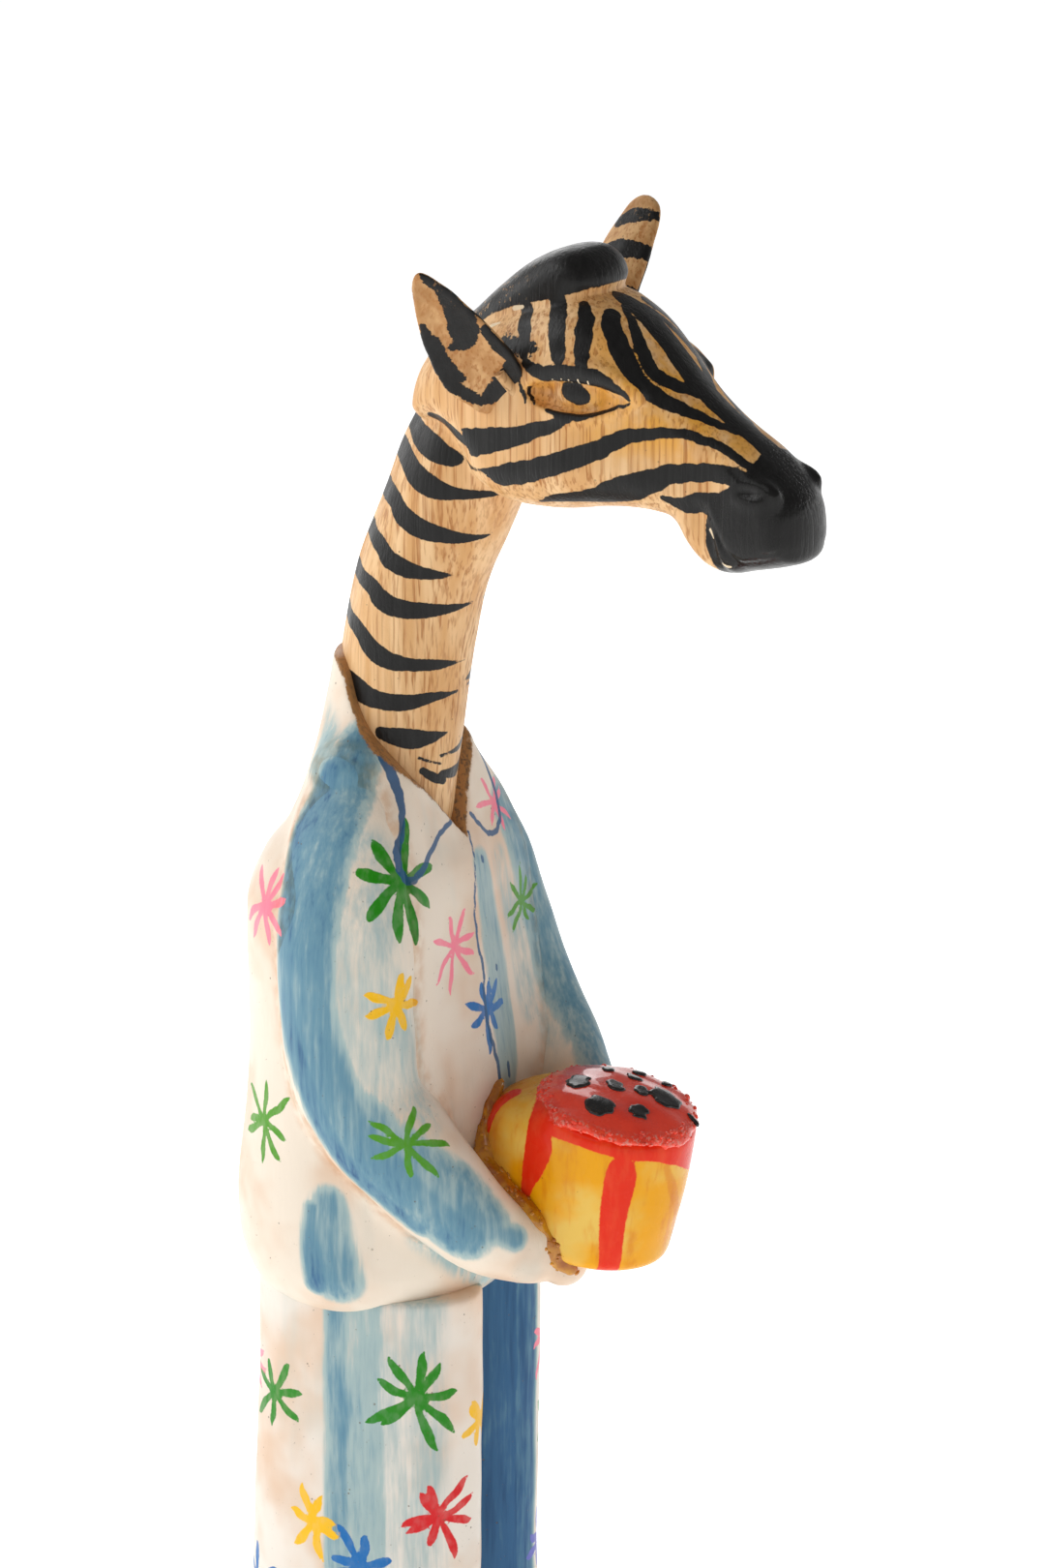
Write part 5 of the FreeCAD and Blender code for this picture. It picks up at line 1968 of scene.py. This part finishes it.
# --------------------------------------------------------------------------- finishes
@dataclass(frozen=True)
class StripedWood:
    """Pale grained wood with black brushed stripes, for the head and the ears."""

    name: str = "striped_wood"
    pale: Colour = tint("EDC593")
    deep: Colour = tint("D8A56C")
    line: Colour = tint("A4642C")
    ochre: Colour = tint("E39F2C")
    black: Colour = tint("121110")
    grey: Colour = tint("292827")
    cream: Colour = tint("EBD6B4")
    dirt: Colour = tint("5C4326")
    grain: float = 1.0
    ragged: float = 0.42
    shine: Shine = Shine(0.24, 0.04, 0.22, 0.55, 0.35)

    def material(self) -> Material:
        """Build the finish.

        Returns:
            The new material.
        """
        made, bench, shader = blank_material(self.name)
        grain = join(bench, wood_grain(), strength=self.grain)
        wood = bench.blend(grain.outputs["Bands"], self.pale, self.deep)
        stain = bench.mark("stain")
        mottled = bench.times(stain, bench.step(bench.noise(bench.stretched(), 140.0, 3.0), 0.25,
                                                0.6),
                              clamp=True)
        wood = bench.blend(bench.times(mottled, 0.8), wood, self.ochre)
        wood = bench.blend(bench.times(grain.outputs["Lines"], 0.75), wood, self.line)
        dots = join(bench, speckle(), scale=300.0, size=0.2)
        wood = bench.blend(bench.times(dots.outputs["Spots"], 0.8), wood, self.dirt)
        edge = join(bench, brushed_edge(), distance=bench.mark("ink"), softness=0.14,
                    ragged=self.ragged)
        scuffed = join(bench, brushed_edge(), distance=bench.mark("scuffed"), softness=0.5,
                       ragged=4.0)
        rough = bench.mark("rough")
        pitted = bench.noise(bench.stretched((1, 1, 0.7)), 620.0, 3.0, 0.7)
        chipped = bench.times(bench.step(pitted, 0.585, 0.63), bench.mark("worn"), clamp=True)
        under = bench.maths("MAXIMUM", edge.outputs["Mask"], scuffed.outputs["Mask"])
        under = bench.times(under, bench.minus(1.0, bench.times(chipped, 0.55)))
        lash = join(bench, brushed_edge(), distance=bench.mark("lash"), softness=0.12, ragged=0.12)
        thin = bench.step(bench.noise(bench.stretched((500, 500, 60)), 1.0, 2.0), 0.3, 0.75)
        paint = bench.blend(bench.times(thin, 0.35), self.black, self.grey)
        colour = bench.blend(under, wood, paint)
        colour = bench.blend(lash.outputs["Mask"], colour, self.cream)
        gloss = bench.times(bench.mark("gloss"), 0.16)
        dull = bench.step(bench.noise(bench.stretched(), 210.0, 3.0), 0.3, 0.7, 0.40, 0.52)
        dull = bench.minus(dull, bench.times(under, 0.07))
        relief = join(bench, hand_relief(), ridges=0.35, pores=0.45, pore_scale=950.0)
        height = bench.times_plus(under, 0.35, relief.outputs["Height"])
        height = bench.times_plus(bench.times(pitted, rough), 1.5, height)
        height = bench.times_plus(grain.outputs["Height"], 0.35, height)
        self.shine.complete(bench, shader, colour, bench.minus(dull, gloss), height)
        return made


@dataclass(frozen=True)
class PyjamaPaint:
    """Cream ground with blue washes, dark blue lines and loose stars, with painted shade where
    jacket and sleeves meet.
    """

    name: str
    ground: Colour = tint("EEE0CE")
    warm: Colour = tint("E0BFA2")
    cold: Colour = tint("C3CAC2")
    pale_blue: Colour = tint("A7BCBB")
    blue: Colour = tint("6691A4")
    deep_blue: Colour = tint("33648F")
    night: Colour = tint("1C4874")
    line: Colour = tint("1B5482")
    wood: Colour = tint("AD7C4C")
    dirt: Colour = tint("6E5A45")
    rim: bool = False
    shine: Shine = Shine(0.2, 0.08, 0.15, 0.55, 0.35)

    def material(self) -> Material:
        """Build the finish.

        Returns:
            The new material.
        """
        made, bench, shader = blank_material(self.name)
        where = bench.stretched()
        patches = bench.noise(where, 26.0, 3.0, 0.6)
        colour = bench.blend(bench.step(patches, 0.42, 0.72, 0.0, 0.9), self.ground, self.warm)
        cool = bench.noise(bench.stretched((38, 38, 12)), 1.0, 3.0, 0.6)
        colour = bench.blend(bench.step(cool, 0.55, 0.8, 0.0, 0.55), colour, self.cold)
        wash = join(bench, wash_streaks(), density=bench.mark("wash"), unevenness=0.5)
        amount = wash.outputs["Blue"]
        thin = bench.step(amount, 0.03, 0.32)
        full = bench.step(amount, 0.3, 0.66)
        dark = bench.step(amount, 0.62, 0.98)
        colour = bench.blend(thin, colour, self.pale_blue)
        colour = bench.blend(full, colour, self.blue)
        colour = bench.blend(dark, colour, self.deep_blue)
        colour = bench.blend(bench.times(dark, bench.step(wash.outputs["Streak"], 0.45, 0.75, 0.0,
                                                          0.7)),
                             colour, self.night)
        star = join(bench, brushed_edge(), distance=bench.mark("star"), softness=0.16, ragged=0.35)
        body = bench.step(bench.noise(bench.stretched((1, 1, 0.6)), 420.0, 2.0), 0.3, 0.62, 0.9,
                          1.0)
        colour = bench.blend(bench.times(star.outputs["Mask"], body), colour,
                             bench.mark("hue", colour=True))
        line = join(bench, brushed_edge(), distance=bench.mark("line"), softness=0.18, ragged=0.3)
        colour = bench.blend(bench.times(line.outputs["Mask"], 0.92), colour, self.line)
        dots = join(bench, speckle(), scale=330.0, size=0.22)
        fine = join(bench, speckle(), scale=700.0, size=0.25)
        spots = bench.maths("MAXIMUM", dots.outputs["Spots"],
                            bench.times(fine.outputs["Spots"], 0.6))
        colour = bench.blend(bench.times(spots, 0.7), colour, self.dirt)
        # painted shade: a mottled darkening of the colour within about 3.4 mm of where jacket and
        # sleeve meet
        crease = bench.step(bench.mark("crease"), 0.0, 3.4, 1.0, 0.0)
        crease = bench.times(crease, bench.step(bench.noise(where, 240.0, 3.0), 0.3, 0.7, 0.1,
                                                0.75))
        colour = bench.blend(crease, colour, self.warm, "MULTIPLY")
        if self.rim:
            bare = join(bench, brushed_edge(), distance=bench.mark("rim"), softness=0.25,
                        ragged=0.9)
            grain = join(bench, wood_grain(), strength=1.0)
            timber = bench.blend(grain.outputs["Lines"], self.wood, self.dirt)
            colour = bench.blend(bare.outputs["Mask"], colour, timber)
        rough = bench.step(bench.noise(where, 120.0, 3.0), 0.3, 0.7, 0.36, 0.5)
        relief = join(bench, hand_relief(), ridges=0.45, pores=0.4, pore_scale=700.0)
        height = bench.times_plus(spots, -0.8, relief.outputs["Height"])
        height = bench.times_plus(star.outputs["Rim"], 0.25, height)
        height = bench.times_plus(line.outputs["Mask"], 0.2, height)
        self.shine.complete(bench, shader, colour, rough, height)
        return made


@dataclass(frozen=True)
class GlazedCake:
    """Amber glaze over carved wood with red painted runs, and painted shade towards the back where
    the cake meets the jacket.
    """

    name: str = "glazed_cake"
    amber: Colour = tint("F2A80C")
    light: Colour = tint("EEC45C")
    orange: Colour = tint("DE8006")
    brown: Colour = tint("9A5508")
    red: Colour = tint("EA2C0A")
    rose: Colour = tint("EE4420")
    shine: Shine = Shine(0.1, 0.2, 0.05, 0.4, 0.3)

    def material(self) -> Material:
        """Build the finish.

        Returns:
            The new material.
        """
        made, bench, shader = blank_material(self.name)
        where = bench.stretched()
        colour = bench.blend(bench.step(bench.noise(where, 55.0, 3.0), 0.4, 0.68), self.amber,
                             self.light)
        strokes = bench.noise(bench.stretched((260, 260, 60)), 1.0, 3.0, 0.6)
        colour = bench.blend(bench.step(strokes, 0.5, 0.75, 0.0, 0.65), colour, self.orange)
        dark = join(bench, brushed_edge(), distance=bench.mark("amber"), softness=0.5, ragged=0.8)
        colour = bench.blend(bench.times(dark.outputs["Mask"], 0.6), colour, self.orange)
        # painted shade: orange, then brown, towards the cake's back where it meets the jacket
        seam = bench.times(bench.mark("seam"), bench.step(strokes, 0.3, 0.6, 0.5, 1.0))
        colour = bench.blend(bench.times(seam, 0.8), colour, self.orange)
        colour = bench.blend(bench.step(seam, 0.75, 1.0, 0.0, 0.7), colour, self.brown)
        run = join(bench, brushed_edge(), distance=bench.mark("line"), softness=0.22, ragged=0.5)
        red = bench.blend(bench.step(strokes, 0.42, 0.7), self.red, self.rose)
        colour = bench.blend(run.outputs["Mask"], colour, red)
        dots = join(bench, speckle(), scale=380.0, size=0.22)
        colour = bench.blend(bench.times(dots.outputs["Spots"], 0.6), colour, self.brown)
        rough = bench.step(bench.noise(where, 160.0, 2.0), 0.3, 0.7, 0.2, 0.34)
        relief = join(bench, hand_relief(), ridges=0.25, pores=0.2, pore_scale=600.0)
        height = bench.times_plus(run.outputs["Mask"], 0.35, relief.outputs["Height"])
        self.shine.complete(bench, shader, colour, rough, height)
        return made


@dataclass(frozen=True)
class RedIcing:
    """Thick wet-looking red paint with a crusty lower lip."""

    name: str = "red_icing"
    red: Colour = tint("FF4426")
    dark: Colour = tint("E2280E")
    rose: Colour = tint("FF664A")
    chalk: Colour = tint("E89080")
    shine: Shine = Shine(0.2, 0.8, 0.06, 0.5, 0.35)

    def material(self) -> Material:
        """Build the finish.

        Returns:
            The new material.
        """
        made, bench, shader = blank_material(self.name)
        where = bench.stretched()
        colour = bench.blend(bench.step(bench.noise(where, 60.0, 3.0), 0.38, 0.7), self.red,
                             self.dark)
        colour = bench.blend(bench.step(bench.noise(where, 130.0, 4.0, 0.65), 0.56, 0.76, 0.0, 0.5),
                             colour, self.rose)
        crust = bench.times(bench.mark("crust"),
                            bench.step(bench.noise(where, 900.0, 3.0, 0.7), 0.52, 0.62))
        colour = bench.blend(bench.times(crust, 0.75), colour, self.chalk)
        rough = bench.step(bench.noise(where, 240.0, 3.0), 0.3, 0.7, 0.18, 0.36)
        relief = join(bench, hand_relief(), ridges=0.15, pores=0.6, pore_scale=520.0)
        pitted = bench.times(bench.mark("crust"), bench.noise(where, 620.0, 4.0, 0.7))
        height = bench.times_plus(pitted, 2.0, relief.outputs["Height"])
        self.shine.complete(bench, shader, colour, rough, height)
        return made


@dataclass(frozen=True)
class Varnished:
    """A plainer finish in two tones, for shoes, chips, glue, bare pegs and the floor."""

    name: str
    base: Colour
    other: Colour
    rough_low: float = 0.3
    rough_high: float = 0.5
    scale: float = 180.0
    bump: float = 0.4
    coat: float = 0.3
    clear: float = 0.0
    grained: bool = False
    glow: float = 0.0
    line: Colour = tint("8A5A2C")

    def material(self) -> Material:
        """Build the finish.

        Returns:
            The new material.
        """
        made, bench, shader = blank_material(self.name)
        where = bench.stretched()
        colour = bench.blend(bench.step(bench.noise(where, self.scale, 3.0, 0.6), 0.36, 0.68),
                             self.base, self.other)
        if self.grained:
            grain = join(bench, wood_grain(), strength=1.0)
            colour = bench.blend(bench.times(grain.outputs["Lines"], 0.7), colour, self.line)
        spread = bench.noise(where, self.scale * 1.7, 2.0)
        rough = bench.step(spread, 0.3, 0.7, self.rough_low, self.rough_high)
        relief = join(bench, hand_relief(), ridges=0.3, pores=0.5, pore_scale=self.scale * 4)
        shine = Shine(0.5, self.coat, 0.1, self.bump, 0.3)
        shine.complete(bench, shader, colour, rough, relief.outputs["Height"])
        bench.fill(shader, {"Transmission Weight": self.clear, "Emission Color": WHITE,
                            "Emission Strength": self.glow, "IOR": 1.46})
        return made


@dataclass(frozen=True)
class Crumbs:
    """Small round lumps strewn at random over the marked part of a surface."""

    name: str
    mark: str
    density: float
    apart: float
    smallest: float
    largest: float
    seed: int

    def tree(self) -> NodeTree:
        """Build the geometry nodes that strew the lumps.

        Returns:
            A tree whose named inputs set the density, spacing, sizes, seed and finish.
        """
        tree = bpy.data.node_groups.new(self.name, "GeometryNodeTree")
        tree.interface.new_socket("Surface", in_out="INPUT", socket_type="NodeSocketGeometry")
        for label in ("Density", "Apart", "Smallest", "Largest"):
            tree.interface.new_socket(label, in_out="INPUT", socket_type="NodeSocketFloat")
        tree.interface.new_socket("Seed", in_out="INPUT", socket_type="NodeSocketInt")
        tree.interface.new_socket("Finish", in_out="INPUT", socket_type="NodeSocketMaterial")
        tree.interface.new_socket("Lumps", in_out="OUTPUT", socket_type="NodeSocketGeometry")
        bench = Bench(tree)
        given = bench.node("NodeGroupInput").outputs
        where = bench.node("GeometryNodeInputNamedAttribute", {"Name": self.mark},
                           data_type="FLOAT")
        strewn = bench.node("GeometryNodeDistributePointsOnFaces", {
            "Mesh": given["Surface"], "Distance Min": given["Apart"],
            "Density Max": given["Density"], "Density Factor": where.outputs["Attribute"],
            "Seed": given["Seed"]}, distribute_method="POISSON")
        size = bench.node("FunctionNodeRandomValue",
                          {2: given["Smallest"], 3: given["Largest"], "Seed": given["Seed"]},
                          data_type="FLOAT")
        squash = bench.node("FunctionNodeRandomValue",
                            {0: (0.7, 0.7, 0.45), 1: (1.2, 1.2, 0.8), "Seed": given["Seed"]},
                            data_type="FLOAT_VECTOR")
        scale = bench.node("ShaderNodeVectorMath", {0: squash.outputs[0], "Scale": size.outputs[1]},
                           operation="SCALE")
        lump = bench.node("GeometryNodeMeshIcoSphere", {"Radius": 1.0, "Subdivisions": 2})
        grown = bench.node("GeometryNodeInstanceOnPoints", {
            "Points": strewn.outputs["Points"], "Instance": lump.outputs["Mesh"],
            "Rotation": strewn.outputs["Rotation"], "Scale": scale.outputs["Vector"]})
        real = bench.node("GeometryNodeRealizeInstances", {"Geometry": grown.outputs["Instances"]})
        smooth = bench.node("GeometryNodeSetShadeSmooth", {"Geometry": real.outputs["Geometry"]})
        dressed = bench.node("GeometryNodeSetMaterial", {"Geometry": smooth.outputs["Geometry"],
                                                         "Material": given["Finish"]})
        bench.put(bench.node("NodeGroupOutput").inputs["Lumps"], dressed.outputs["Geometry"])
        return tree

    def grow(self, surface: Thing, finish: Material) -> Thing:
        """Strew the lumps over a surface and keep them as a mesh of their own.

        Args:
            surface: The piece they lie on.
            finish: Their material.

        Returns:
            The lumps as one plain mesh object.
        """
        tree = self.tree()
        chosen = {"Density": self.density, "Apart": self.apart * MM, "Smallest": self.smallest * MM,
                  "Largest": self.largest * MM, "Seed": self.seed, "Finish": finish}
        modifier = surface.modifiers.new(self.name, "NODES")
        modifier.node_group = tree
        for item in tree.interface.items_tree:
            if item.in_out == "INPUT" and item.name in chosen:
                modifier[item.identifier] = chosen[item.name]
        graph = bpy.context.evaluated_depsgraph_get()
        mesh = bpy.data.meshes.new_from_object(surface.evaluated_get(graph))
        surface.modifiers.remove(modifier)
        return new_object(self.name, mesh)


ICING_CRUMBS = Crumbs("icing_crumbs", "crust", 3.6e5, 0.9, 0.2, 0.85, 11)
GLUE_BUBBLES = Crumbs("glue_bubbles", "foam", 2.2e5, 1.2, 0.25, 0.9, 12)

SHOE_BLACK = Varnished("shoe_black", tint("1B1A1A"), tint("2E2C2B"), 0.25, 0.42, 150.0, 0.5, 0.4)
CHIP_BLACK = Varnished("chip_black", tint("0C0A09"), tint("1E1B1A"), 0.15, 0.35, 300.0, 0.5, 0.3)
AMBER_GLUE = Varnished("amber_glue", tint("F0A818"), tint("C06C06"), 0.06, 0.2, 170.0, 0.4, 0.5,
                       0.35)
BARE_PEG = Varnished("bare_peg", tint("D9B384"), tint("C79A66"), 0.55, 0.75, 90.0, 0.5, 0.0, 0.0,
                     True)
PALE_FLOOR = Varnished("pale_floor", tint("F6F6F5"), tint("F1F1EF"), 0.6, 0.8, 3.0, 0.02, 0.0,
                       glow=0.8)


# --------------------------------------------------------------------------- assembly
@dataclass
class Pieces:
    """The pyjama figure's painted pieces, in the order they are made."""

    sleeves: dict = field(default_factory=lambda: {"arm_right": RIGHT_SLEEVE,
                                                   "arm_left": LEFT_SLEEVE})
    seam_overlap: float = 0.4

    def nearest_sleeve(self, points: Array) -> Array:
        """The distance from each point to the nearer sleeve."""
        return np.minimum(*(sleeve.field(*points.T) for sleeve in self.sleeves.values()))

    def clothe(self) -> None:
        """Make the jacket and both sleeves, painted as one."""
        torso, sleeves = Torso(), list(self.sleeves.values())
        carved = {node: sleeve.carve() for node, sleeve in self.sleeves.items()}
        carved["jacket"] = torso.carve(sleeves)
        skins = []
        for node, (points, quads) in carved.items():
            if node == "jacket":
                cover = self.nearest_sleeve(points)
            else:
                cover = torso.skin_field(*points.T, sleeves)
            skins.append((points, quads, cover > -self.seam_overlap))
        pattern = Pyjamas(skins, COLLAR_LINES, JACKET_STARS, JACKET_WASHES)
        paints = {"jacket_paint": PyjamaPaint("jacket_paint", rim=True).material(),
                  "sleeve_paint": PyjamaPaint("sleeve_paint").material()}
        for node, (points, quads) in carved.items():
            marks = pattern.marks(points)
            if node == "jacket":
                marks["rim"] = -torso.above_neckline(*points.T) - torso.raw_edge
                # distance to the nearer sleeve, for the painted shade in the join
                marks["crease"] = np.clip(self.nearest_sleeve(points), 0.0, FAR)
            else:
                # distance to the torso, for the painted shade in the join
                marks["crease"] = np.clip(torso.field(*points.T), 0.0, FAR)
            slot = "jacket_paint" if node == "jacket" else "sleeve_paint"
            hand_in(build_object("painted_" + node, points, quads, marks), node, paints[slot])

    def trouser(self) -> None:
        """Make both trouser legs and the shoes under them."""
        legs = {side: TrouserLeg(side).carve() for side in Side}
        skins = [(points, quads, points[:, 2] > 0.0) for points, quads in legs.values()]
        pattern = Pyjamas(skins, (), TROUSER_STARS, TROUSER_WASHES)
        finish = PyjamaPaint("trouser_paint", ground=tint("EEE4D8")).material()
        black = SHOE_BLACK.material()
        for side, (points, quads) in legs.items():
            marks = pattern.marks(points)
            # no painted shade on the trousers
            marks["crease"] = np.full(len(points), FAR)
            word = side.name.lower()
            leg = build_object("trouser_" + word, points, quads, marks)
            hand_in(leg, "trouser_leg_" + word, finish)
            shoe = build_object("shoe_" + word, *Shoe(side).carve())
            hand_in(shoe, "foot_" + word, black)

    def face(self) -> None:
        """Make the head with its neck, and both ears."""
        finish = StripedWood().material()
        points, quads = Head().carve()
        head = build_object("zebra_head", points, quads, HeadPaint().marks(points))
        hand_in(head, "head_and_neck", finish)
        stained = StripedWood("ear_wood", pale=tint("DDB17C"), deep=tint("B98550"),
                              ochre=tint("8F6232"),
                              ragged=1.2).material()
        for ear in (RIGHT_EAR, LEFT_EAR):
            word = ear.side.name.lower()
            local, quads = ear.carve_flat()
            thing = build_object("leaf_ear_" + word, ear.placed(local), quads,
                                 EarPaint().marks(local, ear.is_hollow_side(local)))
            hand_in(thing, "ear_" + word, stained)

    def bake(self) -> None:
        """Make the cake, its icing and chips, and the glue that holds it."""
        cake = Cake()
        local, quads = cake.carve_cake()
        body = build_object("amber_cake", CAKE_FRAME.figure(local), quads, CakePaint().marks(local))
        hand_in(body, "cake", GlazedCake().material())
        local, quads = cake.carve_icing()
        out = np.hypot(local[:, 0], local[:, 1])
        crust = ramp(out, 19.0, 21.5) * (1 - ramp(local[:, 2], 44.5,
                                                  46.0)) * ramp(local[:, 2], 39.5, 41.0)
        icing = build_object("iced_top", CAKE_FRAME.figure(local), quads, {"crust": crust})
        red = RedIcing().material()
        hand_in(ICING_CRUMBS.grow(icing, red), "icing", red)
        hand_in(icing, "icing", red)
        local, quads = cake.carve_chips()
        chips = build_object("dark_chips", CAKE_FRAME.figure(local), quads)
        hand_in(chips, "chocolate_chips", CHIP_BLACK.material())
        points, quads = GlueBead().carve()
        glue = build_object("amber_glue_bead", points, quads,
                            {"foam": np.where(points[:, 0] < -12.0, 1.0, 0.2)})
        clear = AMBER_GLUE.material()
        hand_in(GLUE_BUBBLES.grow(glue, clear), "glue_bead", clear)
        hand_in(glue, "glue_bead", clear)

    def pegs(self) -> None:
        """Give the hidden pegs bare wood."""
        finish = BARE_PEG.material()
        for node in ("neck_dowel", "ear_dowels", "arm_dowels", "leg_dowels", "foot_dowels",
                     "cake_dowel"):
            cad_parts[node].data.materials.clear()
            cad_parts[node].data.materials.append(finish)
            log.info("%-24s keeps its own shape, finish %s", node, finish.name)


@dataclass(frozen=True)
class Lamp:
    """One soft square light: where it hangs in degrees and metres, its side and its watts."""

    name: str
    azimuth: float
    elevation: float
    distance: float
    size: float
    power: float


@dataclass
class Studio:
    """The camera, the soft lights and the pale floor; the floor's sizes are metres."""

    target: Point = (20.28, 10.77, 360.0)
    azimuth: float = -65.0
    elevation: float = 18.0
    distance: float = 1200.0
    lens: float = 98.6
    sensor: float = 36.0
    near: float = 0.05
    far: float = 120.0
    floor_profile: tuple = ((16.0, 0.0), (24.0, 0.3), (32.0, 2.0), (38.0, 5.0), (42.0, 9.0))
    floor_steps: int = 96
    floor_drop: float = 0.0004
    sky: float = 0.22
    lamps: tuple = (Lamp("back_left", -162.0, 32.0, 1.6, 1.4, 15.0),
                    Lamp("back_right", 125.0, 24.0, 1.8, 1.0, 7.0),
                    Lamp("key", -105.0, 45.0, 1.6, 0.8, 1.8))

    def direction(self, azimuth: float, elevation: float) -> Vector:
        """The way from the object to a viewer at this azimuth and elevation."""
        a, e = math.radians(azimuth), math.radians(elevation)
        return Vector((math.sin(a) * math.cos(e), -math.cos(a) * math.cos(e), math.sin(e)))

    def camera(self) -> None:
        """Set the camera up."""
        data = bpy.data.cameras.new("camera")
        data.lens, data.sensor_width = self.lens, self.sensor
        data.clip_start, data.clip_end = self.near, self.far
        back = self.direction(self.azimuth, self.elevation)
        camera = new_object("camera", data)
        camera.rotation_mode = "QUATERNION"
        camera.location = (Vector(self.target) + back * self.distance) * MM
        camera.rotation_quaternion = (-back).to_track_quat("-Z", "Y")
        bpy.context.scene.camera = camera

    def light(self, lamp: Lamp) -> None:
        """Hang one soft square light that faces the figure.

        Args:
            lamp: What to hang, and where.
        """
        data = bpy.data.lights.new(lamp.name, "AREA")
        data.energy, data.size = lamp.power, lamp.size
        hung = new_object(lamp.name, data)
        back = self.direction(lamp.azimuth, lamp.elevation)
        hung.rotation_mode = "QUATERNION"
        hung.location = Vector(self.target) * MM + back * lamp.distance
        hung.rotation_quaternion = back.to_track_quat("Z", "Y")

    def floor(self) -> None:
        """Lay a wide round pale floor whose far rim curves up into a low backdrop."""
        steps, rings = self.floor_steps, len(self.floor_profile)
        angles = [2 * math.pi * i / steps for i in range(steps)]
        points = [(out * math.cos(a), out * math.sin(a), rise - self.floor_drop)
                  for out, rise in self.floor_profile for a in angles]
        faces = [tuple(range(steps))]
        for ring in range(rings - 1):
            a, b = ring * steps, (ring + 1) * steps
            faces += [(a + i, b + i, b + (i + 1) % steps,
                       a + (i + 1) % steps) for i in range(steps)]
        mesh = bpy.data.meshes.new("floor")
        mesh.from_pydata(points, [], faces)
        mesh.shade_smooth()
        mesh.materials.append(PALE_FLOOR.material())
        floor = new_object("floor", mesh)

    def set_up(self) -> None:
        """Set up camera, floor, sky and lights."""
        self.camera()
        self.floor()
        sky = bpy.data.worlds.new("sky")
        sky.use_nodes = True
        light = sky.node_tree.nodes["Background"].inputs
        light["Color"].default_value = WHITE
        light["Strength"].default_value = self.sky
        bpy.context.scene.world = sky
        for lamp in self.lamps:
            self.light(lamp)
        bpy.context.scene.view_settings.view_transform = "Standard"


def main() -> None:
    """Make every piece in order, then the studio."""
    logging.basicConfig(level=logging.INFO, format="%(name)s: %(message)s")
    pieces = Pieces()
    pieces.clothe()
    pieces.trouser()
    pieces.face()
    pieces.bake()
    pieces.pegs()
    Studio().set_up()


if __name__ == "__main__":
    main()
